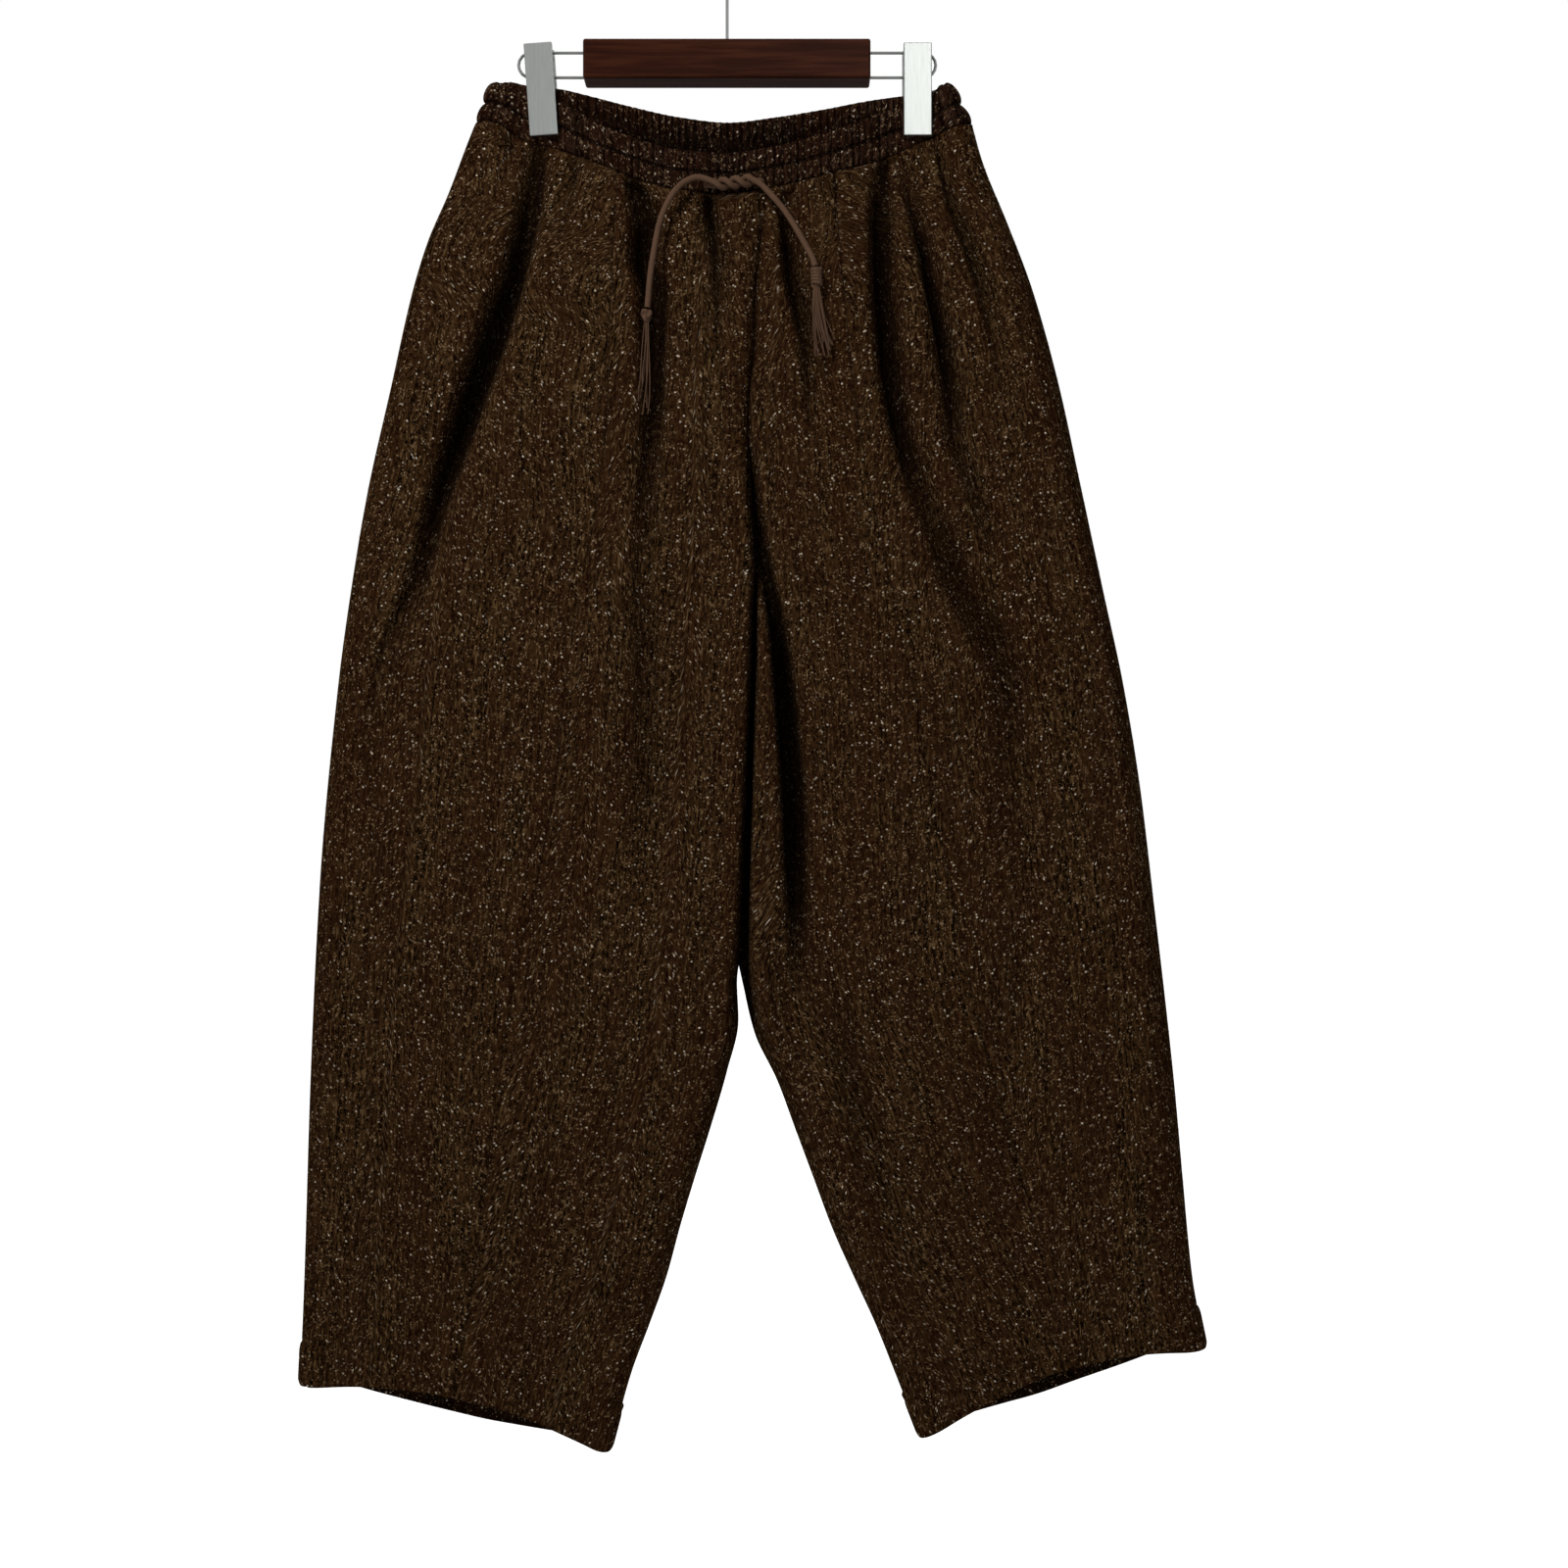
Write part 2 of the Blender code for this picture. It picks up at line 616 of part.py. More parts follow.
def build_waistband(paint, home):
    tops, seams = WAIST_RING
    count = len(tops)
    run = np.roll(tops, -1, axis=0) - np.roll(tops, 1, axis=0)
    out = np.stack([run[:, 1], -run[:, 0]], axis=1)
    out /= np.linalg.norm(out, axis=1, keepdims=True)
    # Two elastic channels bulge either side of the stitched line half way down.
    channel = ((0.0, 0.1), (0.22, 1.0), (0.5, -0.1), (0.78, 1.0), (1.0, 0.1))
    rib = np.where(np.arange(count) % 2, RIB_RISE, -RIB_RISE) * 0.5
    points = []
    for share, bulge in channel:
        middle = tops * (1 - share) + seams * share
        ring = middle.copy()
        ring[:, :2] += out * (WAISTBAND_WALL / 2 + bulge * CHANNEL_RISE * 0.7 + rib)[:, None]
        points.append(ring)
    for share in (1.0, 0.0):
        ring = tops * (1 - share) + seams * share
        ring[:, :2] -= out * WAISTBAND_WALL / 2
        points.append(ring)
    mesh = bpy.data.meshes.new("waistband")
    faces = []
    levels = len(points)
    for level in range(levels):
        below = (level + 1) % levels
        for i in range(count):
            j = (i + 1) % count
            faces.append((level * count + i, below * count + i, below * count + j, level * count + j))
    mesh.from_pydata([Vector(p) * MM for ring in points for p in ring], [], faces)
    mesh.materials.append(paint)
    obj = bpy.data.objects.new("waistband", mesh)
    home.objects.link(obj)
    return obj


def tube(name, route, radius, paint, home, closed=False, detail=2):
    """A round cord or wire along the route, which is in millimetres."""
    curve = bpy.data.curves.new(name, "CURVE")
    curve.dimensions = "3D"
    curve.bevel_depth = radius * MM
    curve.bevel_resolution = detail
    curve.use_fill_caps = True
    spline = curve.splines.new("POLY")
    spline.points.add(len(route) - 1)
    for point, place in zip(spline.points, route):
        point.co = (*(Vector(place) * MM), 1.0)
    spline.use_cyclic_u = closed
    curve.materials.append(paint)
    obj = bpy.data.objects.new(name, curve)
    home.objects.link(obj)
    return obj


def rounded_route(stops, step):
    """A smooth route through the stops, a point about every step."""
    stops = np.array(stops, float)
    length = np.concatenate([[0], np.cumsum(np.linalg.norm(np.diff(stops, axis=0), axis=1))])
    rows = [(a, *b) for a, b in zip(length, stops)]
    count = max(2, round(length[-1] / step))
    return [tuple(follow(rows, length[-1] * i / count)) for i in range(count + 1)]


KNOT_LEFT = Vector((-7.0, -24.2, -201.0))
KNOT_RIGHT = Vector((18.0, -24.2, -198.0))
# The free ends hang from the half-knot over the front panels.
LEFT_END = (
    # x, y, z
    (-12.5, -27.2, -198.6),
    (-20.0, -27.6, -197.0),
    (-28.0, -28.0, -200.0),
    (-36.0, -29.5, -208.0),
    (-41.5, -31.0, -218.0),
    (-46.0, -33.0, -231.0),
    (-49.0, -35.0, -247.0),
    (-52.0, -36.5, -268.0),
    (-54.0, -37.5, -291.0),
)
RIGHT_END = (
    (23.5, -27.4, -201.2),
    (31.0, -28.4, -209.0),
    (40.0, -30.5, -220.0),
    (48.0, -33.0, -233.0),
    (55.0, -35.5, -246.0),
    (60.5, -37.6, -257.0),
    (62.4, -38.5, -262.6),
)


def twist(start, stop, way):
    """One and a half turns of one strand round the knot's line, from behind it to in front."""
    route = []
    for i in range(13):
        t = i / 12
        angle = way * 3 * math.pi * t
        off = Vector((0.0, math.cos(angle), math.sin(angle))) * TWIST_RADIUS
        route.append(tuple(start + (stop - start) * t + off))
    return route


def build_drawstring(cord, home):
    # Each end comes out of the waistband beside the knot and leaves on its far side.
    into_left = [(25.0, -17.5, -196.8), (24.7, -19.7, -196.9), (23.0, -21.2, -197.3)]
    left_route = into_left + twist(KNOT_RIGHT, KNOT_LEFT, -1) + rounded_route(LEFT_END, 7.5)
    into_right = [(-14.0, -17.7, -199.8), (-13.7, -19.8, -199.9), (-12.0, -21.2, -200.3)]
    right_route = into_right + twist(KNOT_LEFT, KNOT_RIGHT, 1) + rounded_route(RIGHT_END, 7.5)
    tube("drawstring_left", left_route, CORD_RADIUS, cord, home)
    tube("drawstring_right", right_route, CORD_RADIUS, cord, home)
    build_tassel("tassel_left", Vector((-54.5, -38.0, -296.2)), 3.6, 4.6, 5, 52.0, 4.0, cord, home)
    build_tassel("tassel_right", Vector((63.0, -38.9, -270.1)), 3.6, 7.2, 18, 46.0, 7.0, cord, home)


def build_tassel(name, centre, radius, half_height, strands, length, spread, paint, home):
    """A wrapped knot with the strands of the cord's end hanging from it."""
    bpy.ops.mesh.primitive_uv_sphere_add(segments=10, ring_count=6, radius=1.0, location=(0, 0, 0))
    head = bpy.context.object
    head.name = name
    head.data.name = name
    head.data.transform(Matrix.Translation(centre * MM)
                        @ Matrix.Diagonal((radius * MM, radius * MM, half_height * MM, 1.0)))
    for collection in list(head.users_collection):
        collection.objects.unlink(head)
    home.objects.link(head)
    head.data.materials.append(paint)
    body = bmesh.new()
    golden = math.pi * (3 - math.sqrt(5))
    for i in range(strands):
        angle = i * golden
        out = math.sqrt((i + 0.5) / strands)
        reach = length * (1.0 - 0.22 * ((i * 7) % 5) / 4)
        sections = []
        for k in range(4):
            t = k / 3
            wide = (radius * 0.62 * out) * (1 - t) + spread * out * t
            sway = 1.2 * math.sin(3.0 * t + i) * t
            x = centre.x + wide * math.cos(angle) + sway + 0.06 * length * t
            y = centre.y + 0.45 * wide * math.sin(angle) - 0.4 * t
            z = centre.z - half_height * 0.35 - reach * t
            size = 0.5 - 0.12 * t
            ring = []
            for corner in range(3):
                turn = 2 * math.pi * corner / 3 + angle
                place = Vector((x + size * math.cos(turn), y + size * math.sin(turn), z))
                ring.append(body.verts.new(place * MM))
            sections.append(ring)
        body.faces.new(sections[0])
        body.faces.new(sections[-1][::-1])
        for upper, lower in zip(sections, sections[1:]):
            for corner in range(3):
                after = (corner + 1) % 3
                body.faces.new((upper[corner], lower[corner], lower[after], upper[after]))
    bmesh.ops.recalc_face_normals(body, faces=body.faces)
    mesh = bpy.data.meshes.new(name + " strands")
    body.to_mesh(mesh)
    body.free()
    hanging = bpy.data.objects.new(name + " strands", mesh)
    cutters.objects.link(hanging)
    hanging.display_type = "WIRE"
    joined = head.modifiers.new("strands", "BOOLEAN")
    joined.operation = "UNION"
    joined.solver = "EXACT"
    joined.use_self = True
    joined.object = hanging
    return head


def box(name, size, centre, home, paint=None, bevel=0.0):
    bpy.ops.mesh.primitive_cube_add(size=1.0, location=(0, 0, 0))
    obj = bpy.context.object
    obj.name = name
    obj.data.name = name
    scale = Matrix.Diagonal((size[0] * MM, size[1] * MM, size[2] * MM, 1.0))
    obj.data.transform(Matrix.Translation(Vector(centre) * MM) @ scale)
    for collection in list(obj.users_collection):
        collection.objects.unlink(obj)
    home.objects.link(obj)
    if paint:
        obj.data.materials.append(paint)
    if bevel:
        edge = obj.modifiers.new("edge", "BEVEL")
        edge.width = bevel * MM
        edge.segments = 2
        edge.limit_method = "ANGLE"
    return obj


def cut(obj, cutter):
    cutter.display_type = "WIRE"
    made = obj.modifiers.new("cut " + cutter.name, "BOOLEAN")
    made.operation = "DIFFERENCE"
    made.solver = "EXACT"
    made.object = cutter


def bore(name, start, stop, radius):
    start = Vector(start)
    stop = Vector(stop)
    along = stop - start
    bpy.ops.mesh.primitive_cylinder_add(vertices=12, radius=radius * MM, depth=along.length * MM)
    obj = bpy.context.object
    obj.name = name
    turn = along.to_track_quat("Z", "Y").to_matrix().to_4x4()
    obj.data.transform(Matrix.Translation((start + stop) / 2 * MM) @ turn)
    for collection in list(obj.users_collection):
        collection.objects.unlink(obj)
    cutters.objects.link(obj)
    return obj


def build_hanger(wood, metal, home):
    bar_centre = (0.0, 0.0, BAR_TOP - BAR_SIZE[2] / 2)
    bar = box("hanger_bar", BAR_SIZE, bar_centre, home, wood, bevel=1.6)
    lower = WIRE_Z - WIRE_SPACING
    for name, z in (("upper", WIRE_Z), ("lower", lower)):
        reach = BAR_SIZE[0] / 2 + 5
        cut(bar, bore("bar " + name + " bore", (-reach, 0, z), (reach, 0, z), WIRE_RADIUS + GAP))
    stem_foot = BAR_TOP - 3.5
    cut(bar, bore("bar stem bore", (0, 0, stem_foot - GAP), (0, 0, BAR_TOP + 5), WIRE_RADIUS + GAP))
    bend = WIRE_SPACING / 2
    route = []
    for end, start_angle in ((1, -90), (-1, 90)):
        for k in range(9):
            angle = math.radians(start_angle + 180 * k / 8)
            x = end * (WIRE_HALF_LENGTH - bend) + bend * math.cos(angle)
            route.append((x, 0.0, WIRE_Z - bend + bend * math.sin(angle)))
    tube("hanger_wire_loop", route, WIRE_RADIUS, metal, home, closed=True)
    ring = HOOK_BEND + WIRE_RADIUS
    stem = [(0.0, 0.0, stem_foot), (0.0, 0.0, -60.0), (1.0, 0.0, -53.5), (5.0, 0.0, -47.0), (11.0, 0.0, -41.5)]
    arc = []
    for k in range(15):
        angle = math.radians(-38 + 238 * k / 14)
        arc.append((ring * math.cos(angle), 0.0, -HOOK_BEND + ring * math.sin(angle)))
    hook = tube("hanger_hook", stem + arc, WIRE_RADIUS, metal, home)
    for side, lean in (("left", 4.0), ("right", 0.0)):
        x = CLIP_X[side]
        middle = CLIP_TOP - CLIP_SIZE[2] / 2
        turn = Matrix.Translation(Vector((x, 0, middle)) * MM) @ Matrix.Rotation(math.radians(-lean), 4, "Y")
        for face, way in (("front", -1.0), ("back", 1.0)):
            name = "clip_" + face + "_" + side
            outer = CLIP_SIZE[1] / 2 + 4.7
            tray = box(name, CLIP_SIZE, (0, way * outer, 0), home, metal, bevel=0.7)
            hollow = (CLIP_SIZE[0] - 2 * CLIP_SHEET, CLIP_SIZE[1], CLIP_SIZE[2] - 6 * CLIP_SHEET)
            hollow = box(name + " hollow", hollow, (0, way * (outer - CLIP_SHEET), 0), cutters)
            cut(tray, hollow)
            for piece in (tray, hollow):
                piece.data.transform(turn)
        core = box("clip_core_" + side, CORE_SIZE, (x, 0, WIRE_Z - bend), home, metal, bevel=1.0)
        for name, z in (("upper", WIRE_Z), ("lower", lower)):
            ends = ((x - CORE_SIZE[0], 0, z), (x + CORE_SIZE[0], 0, z))
            cut(core, bore("core " + side + " " + name, *ends, WIRE_RADIUS + GAP))
    return hook


WAIST_RING = waist_ring()

clear_scene()
garment = new_collection("wide_leg_trousers_on_clip_hanger")
cutters = new_collection("cutters", hidden=True)

TWEED = material("brown_tweed", (0.045, 0.026, 0.014), 0.95)
BAND_TWEED = material("brown_tweed_waistband", (0.045, 0.026, 0.014), 0.95)
CORD = material("brown_cotton_cord", (0.09, 0.055, 0.035), 0.85)
WOOD = material("mahogany_stained_wood", (0.043, 0.012, 0.006), 0.4)
METAL = material("satin_nickel", (0.42, 0.44, 0.42), 0.32, 1.0)

for leg in ("left", "right"):
    build_leg(leg, TWEED, garment)
build_waistband(BAND_TWEED, garment)
build_drawstring(CORD, garment)
build_hanger(WOOD, METAL, garment)
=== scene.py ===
import math

import bpy
import numpy as np
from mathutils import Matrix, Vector


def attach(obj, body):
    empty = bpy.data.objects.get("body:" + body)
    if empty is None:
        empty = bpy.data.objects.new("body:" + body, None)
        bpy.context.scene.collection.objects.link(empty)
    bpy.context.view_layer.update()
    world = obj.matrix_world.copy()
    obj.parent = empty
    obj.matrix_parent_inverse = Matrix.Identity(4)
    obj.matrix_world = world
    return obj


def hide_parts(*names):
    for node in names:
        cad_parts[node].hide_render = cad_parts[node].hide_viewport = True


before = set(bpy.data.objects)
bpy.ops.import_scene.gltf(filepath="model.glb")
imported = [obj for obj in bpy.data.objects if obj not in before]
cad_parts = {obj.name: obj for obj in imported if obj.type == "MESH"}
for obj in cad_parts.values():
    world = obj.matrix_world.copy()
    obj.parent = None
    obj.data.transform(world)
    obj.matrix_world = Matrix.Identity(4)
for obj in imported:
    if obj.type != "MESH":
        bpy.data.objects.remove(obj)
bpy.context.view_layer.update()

MM = 0.001
scene = bpy.context.scene


# Camera: about 1.2 m in front of the trousers, level with the middle of the legs and a little right of
# centre, so that the bar's underside and the inside of the back waistband show.
CAMERA_PLACE = (0.0406, -1.2, -0.6206)
LENS = 38.57
SENSOR = 36.0
bpy.ops.object.camera_add(location=CAMERA_PLACE, rotation=(math.radians(90), 0, 0))
scene.camera = bpy.context.object
scene.camera.data.sensor_width = SENSOR
scene.camera.data.lens = LENS
scene.camera.data.clip_start = 0.05


# Studio: a white wall behind that lights the cloth's edges, a large soft lamp at the upper left, a weak
# one at the right, one at the upper right that shines back from the clips only, and a pale floor.
FRONT_GLOW = 0.018
WALL_GLOW = 0.42
GLOSS_GLOW = 0.55
WALL_STARTS = -0.1
WALL_FULL = 0.75
world = bpy.data.worlds.new("white surround")
scene.world = world
world.use_nodes = True
surround = world.node_tree
way = surround.nodes.new("ShaderNodeTexCoord")
axes = surround.nodes.new("ShaderNodeSeparateXYZ")
behind = surround.nodes.new("ShaderNodeMapRange")
seen = surround.nodes.new("ShaderNodeLightPath")
glossy = surround.nodes.new("ShaderNodeMapRange")
strength = surround.nodes.new("ShaderNodeMapRange")
behind.inputs["From Min"].default_value = WALL_STARTS
behind.inputs["From Max"].default_value = WALL_FULL
behind.inputs["To Min"].default_value = FRONT_GLOW
behind.inputs["To Max"].default_value = WALL_GLOW
glossy.inputs["To Min"].default_value = 1.0
glossy.inputs["To Max"].default_value = GLOSS_GLOW
for start, stop in (
    (way.outputs["Generated"], axes.inputs["Vector"]),
    (axes.outputs["Y"], behind.inputs["Value"]),
    (seen.outputs["Is Glossy Ray"], glossy.inputs["Value"]),
    (seen.outputs["Is Diffuse Ray"], strength.inputs["Value"]),
    (glossy.outputs["Result"], strength.inputs["To Min"]),
    (behind.outputs["Result"], strength.inputs["To Max"]),
    (strength.outputs["Result"], surround.nodes["Background"].inputs["Strength"]),
):
    surround.links.new(start, stop)
surround.nodes["Background"].inputs["Color"].default_value = (1.0, 1.0, 1.0, 1.0)
scene.view_settings.view_transform = "Standard"
scene.view_settings.look = "None"


LAMPS = {
    # place, aimed at, width, watts, whether it lights cloth or only shines back from metal
    "key": ((-0.7, -1.4, 0.62), (0.0, 0.0, -0.2), 0.5, 16.5, "cloth"),
    "fill": ((0.8, -2.3, -0.3), (0.0, 0.0, -0.6), 0.5, 2.8, "cloth"),
    "gleam": ((0.30, -1.45, 0.50), (0.1, 0.0, -0.12), 0.45, 2.2, "metal"),
}
for name, (place, aim, width, watts, lights) in LAMPS.items():
    bpy.ops.object.light_add(type="AREA", location=place)
    lamp = bpy.context.object
    lamp.name = name
    lamp.rotation_euler = (Vector(aim) - Vector(place)).to_track_quat("-Z", "Y").to_euler()
    lamp.data.size = width
    lamp.data.energy = watts
    lamp.visible_glossy = lights == "metal"
    lamp.visible_diffuse = lights == "cloth"

FLOOR_Z = -1.14
FLOOR_SIZE = 14.0
FLOOR_WHITE = 0.93
FLOOR_GLOW = 0.02
FLOOR_GLOW_SEEN = 0.97
bpy.ops.mesh.primitive_plane_add(size=FLOOR_SIZE, location=(0.02, 0.0, FLOOR_Z))
floor = bpy.context.object
floor.name = "floor"
paint = bpy.data.materials.new("pale floor")
paint.use_nodes = True
pale = paint.node_tree.nodes["Principled BSDF"]
pale.inputs["Base Color"].default_value = (FLOOR_WHITE, FLOOR_WHITE, FLOOR_WHITE, 1.0)
pale.inputs["Roughness"].default_value = 0.8
pale.inputs["Emission Color"].default_value = (1.0, 1.0, 1.0, 1.0)
# The floor looks nearly white without lighting the cloth from below.
seen = paint.node_tree.nodes.new("ShaderNodeLightPath")
glow = paint.node_tree.nodes.new("ShaderNodeMapRange")
glow.inputs["To Min"].default_value = FLOOR_GLOW
glow.inputs["To Max"].default_value = FLOOR_GLOW_SEEN
paint.node_tree.links.new(seen.outputs["Is Camera Ray"], glow.inputs["Value"])
paint.node_tree.links.new(glow.outputs["Result"], pale.inputs["Emission Strength"])
floor.data.materials.append(paint)


# Drawstring: soft brown cotton cord. Each end comes out of the front of the waistband, is twisted
# round the other and hangs free, the left one in a wide arch and the right one shorter.
class Value:
    """A shader socket as a plain value: sums and products of them make Math nodes."""

    def __init__(self, paint, socket):
        self.paint = paint
        self.socket = socket

    def _math(self, kind, other, swapped=False):
        first, second = (other, self) if swapped else (self, other)
        return self.paint.node("ShaderNodeMath", {"operation": kind}, {0: first, 1: second})

    def __add__(self, other):
        return self._math("ADD", other)

    __radd__ = __add__

    def __mul__(self, other):
        return self._math("MULTIPLY", other)

    __rmul__ = __mul__

    def __sub__(self, other):
        return self._math("SUBTRACT", other)

    def __rsub__(self, other):
        return self._math("SUBTRACT", other, swapped=True)

    def over(self, low, high):
        """0 below low, 1 above high, eased between."""
        return self.paint.node("ShaderNodeMapRange", {"interpolation_type": "SMOOTHSTEP"},
                               {"Value": self, "From Min": low, "From Max": high})


class Paint:
    """A Principled material and one method that makes and joins its nodes."""

    def __init__(self, name, roughness, metallic=0.0):
        self.material = bpy.data.materials.new(name)
        self.material.use_nodes = True
        self.tree = self.material.node_tree
        self.shader = self.tree.nodes["Principled BSDF"]
        self.set(Roughness=roughness, Metallic=metallic)

    def set(self, **values):
        for name, value in values.items():
            self.shader.inputs[name.replace("_", " ")].default_value = value

    def node(self, kind, settings=None, values=None, out=0):
        made = self.tree.nodes.new(kind)
        for name, value in (settings or {}).items():
            setattr(made, name, value)
        for name, value in (values or {}).items():
            if isinstance(value, Value):
                self.tree.links.new(value.socket, made.inputs[name])
            else:
                made.inputs[name].default_value = value
        return Value(self, made.outputs[out])

    def link(self, name, value):
        self.tree.links.new(value.socket, self.shader.inputs[name])

    def mix(self, share, low, high):
        return self.node("ShaderNodeMix", {"data_type": "RGBA"}, {0: share, 6: low, 7: high}, out=2)

    def noise(self, place, scale, detail=2.0, rough=0.5):
        return self.node("ShaderNodeTexNoise", {}, {"Vector": place, "Scale": scale, "Detail": detail,
                                                    "Roughness": rough})

    def stretched(self, place, across, along, depth=1.0, shift=(0.0, 0.0, 0.0)):
        return self.node("ShaderNodeMapping", {}, {"Vector": place, "Scale": (across, along, depth),
                                                   "Location": shift})

    def bump(self, height, strength, distance):
        given = {"Height": height, "Strength": strength, "Distance": distance}
        self.link("Normal", self.node("ShaderNodeBump", {}, given))


def follow(rows, at):
    """The table's columns at these keys, eased from row to row without running past either."""
    rows = np.array(rows, float)
    rows = rows[np.argsort(rows[:, 0])]
    key, value = rows[:, 0], rows[:, 1:]
    slope = np.diff(value, axis=0) / np.diff(key)[:, None]
    before, after = slope[:-1], slope[1:]
    alike = before * after > 0
    total = np.where(alike, before + after, 1.0)
    tangent = np.vstack([slope[:1], np.where(alike, 2 * before * after / total, 0.0), slope[-1:]])
    at =np.clip(np.asarray(at, float), key[0], key[-1])
    row = np.clip(np.searchsorted(key, at, side="right") - 1, 0, len(key) - 2)
    span = (key[row + 1] - key[row])[..., None]
    t = (at - key[row])[..., None] / span
    rise = t * t * (3 - 2 * t)
    found = value[row] * (1 - rise) + value[row + 1] * rise
    found = found + tangent[row] * t * (1 - t) ** 2 * span + tangent[row + 1] * t * t * (t - 1) * span
    found = np.moveaxis(found, -1, 0)
    return found if len(found) > 1 else found[0]


def smooth_route(stops, step):
    """A smooth route through the stops, in steps of about this length."""
    stops = np.array(stops, float)
    length = np.concatenate([[0], np.cumsum(np.linalg.norm(np.diff(stops, axis=0), axis=1))])
    rows = np.column_stack([length, stops])
    count = max(2, round(length[-1] / step))
    return follow(rows, np.linspace(0, length[-1], count + 1)).T


def tube(name, routes, radius, material, closed=False, detail=5):
    """Round cords or wires along routes in millimetres."""
    curve = bpy.data.curves.new(name, "CURVE")
    curve.dimensions = "3D"
    curve.bevel_depth = radius * MM
    curve.bevel_resolution = detail
    curve.use_fill_caps = True
    for route in routes:
        spline = curve.splines.new("POLY")
        spline.points.add(len(route) - 1)
        for point, place in zip(spline.points, route):
            point.co = (*(Vector(place) * MM), 1.0)
        spline.use_cyclic_u = closed
        spline.use_smooth = True
    curve.materials.append(material)
    obj = bpy.data.objects.new(name, curve)
    scene.collection.objects.link(obj)
    return obj


cord = Paint("brown_cotton_cord", 0.85)
place = cord.node("ShaderNodeTexCoord", out=3)
weave = cord.noise(place, 900.0, 3.0, 0.6)
tone = cord.noise(place, 90.0, 2.0)
CORD_DARK = (0.085, 0.045, 0.027, 1)
CORD_PALE = (0.20, 0.115, 0.072, 1)
cord.link("Base Color", cord.mix(weave * 0.6 + tone * 0.4, CORD_DARK, CORD_PALE))
cord.bump(weave, 0.6, 0.0004)
cord.set(Sheen_Weight=0.0, Specular_IOR_Level=0.05)

CORD_RADIUS = 2.1
TWIST_RADIUS = 2.6
TWIST_TURNS = 1.5
KNOT_LEFT = np.array((-7.0, -24.2, -201.0))
KNOT_RIGHT = np.array((18.0, -24.2, -198.0))
DRAWSTRING = {
    # where it leaves the band, knot line from and to, which way it winds, and where it hangs: x, y, z
    "left": (
        ((25.0, -17.5, -196.8), (24.7, -19.7, -196.9), (23.0, -21.2, -197.3)),
        KNOT_RIGHT,
        KNOT_LEFT,
        -1,
        (
            (-12.5, -27.2, -198.6),
            (-20.0, -27.6, -197.0),
            (-28.0, -28.0, -200.0),
            (-36.0, -29.5, -208.0),
            (-41.5, -31.0, -218.0),
            (-46.0, -33.0, -231.0),
            (-49.0, -35.0, -247.0),
            (-52.0, -36.5, -268.0),
            (-54.0, -37.5, -291.0),
        ),
    ),
    "right": (
        ((-14.0, -17.7, -199.8), (-13.7, -19.8, -199.9), (-12.0, -21.2, -200.3)),
        KNOT_LEFT,
        KNOT_RIGHT,
        1,
        (
            (23.5, -27.4, -201.2),
            (31.0, -28.4, -209.0),
            (40.0, -30.5, -220.0),
            (48.0, -33.0, -233.0),
            (55.0, -35.5, -246.0),
            (60.5, -37.6, -257.0),
            (62.4, -38.5, -262.6),
        ),
    ),
}
TASSELS = {
    # knot centre, how many strands, how long, how far they spread, which way they drift
    "left": ((-54.5, -38.0, -296.2), 7, 66.0, 5.0, -3.0),
    "right": ((63.0, -38.9, -270.1), 34, 52.0, 7.0, 6.0),
}
TREFOIL_WIDE = 0.95
TREFOIL_DEEP = 1.6
TREFOIL_TALL = 1.25
TREFOIL_CORD = 1.55
WRAP_TURNS = 5.5
WRAP_RADIUS = 2.9
WRAP_LEAN = 0.8
WRAP_TALL = 12.0
WRAP_CORD = 1.25
CORE_HALF = 6.6
CORE_RADIUS = 2.0
YARN_RADIUS = 0.38
YARN_WAVE = 1.3
# The angle that spreads any number of yarns evenly round the knot.
GOLDEN_TURN = 2.39996


def tied_end(side, x, y, z):
    """A knot: the left end's is a loose trefoil, the right end's is wrapped round its core."""
    if side == "left":
        t = np.linspace(0, 2 * math.pi, 61)[:-1]
        wide = x + TREFOIL_WIDE * (np.sin(t) + 2 * np.sin(2 * t))
        deep = y - TREFOIL_DEEP * np.sin(3 * t)
        tall = z + TREFOIL_TALL * (np.cos(t) - 2 * np.cos(2 * t))
        loop = np.column_stack([wide, deep, tall])
        return [tube("tassel_left_knot", [loop], TREFOIL_CORD, cord.material, closed=True)]
    turns = np.linspace(0, 1, 90)
    angle = turns * 2 * math.pi * WRAP_TURNS
    wide = x + WRAP_RADIUS * np.cos(angle) + WRAP_LEAN * (turns - 0.5)
    wrap = np.column_stack([wide, y + WRAP_RADIUS * np.sin(angle), z + WRAP_TALL / 2 - WRAP_TALL * turns])
    core = np.array([(x, y, z + CORE_HALF), (x, y, z), (x, y, z - CORE_HALF)])
    return [
        tube("tassel_right_knot", [wrap], WRAP_CORD, cord.material),
        tube("tassel_right_core", [core], CORE_RADIUS, cord.material),
    ]


def frayed_yarns(x, y, z, count, length, spread, drift):
    """Routes of the yarns below a knot, of uneven length, spreading and drifting as they fall."""
    yarns = []
    fall = np.linspace(0, 1, 14)
    for i in range(count):
        angle = i * GOLDEN_TURN
        out = math.sqrt((i + 0.5) / count)
        reach = length * (1.0 - 0.3 * ((i * 7) % 5) / 4)
        wide = 1.6 * out * (1 - fall) + spread * out * fall
        wave = YARN_WAVE * np.sin(4.2 * fall + i) * fall
        across = x + wide * math.cos(angle) + drift * fall * fall + wave
        forward = y + 0.45 * wide * math.sin(angle) - 0.3 * fall
        yarns.append(np.column_stack([across, forward, z - 3.0 - reach * fall]))
    return yarns


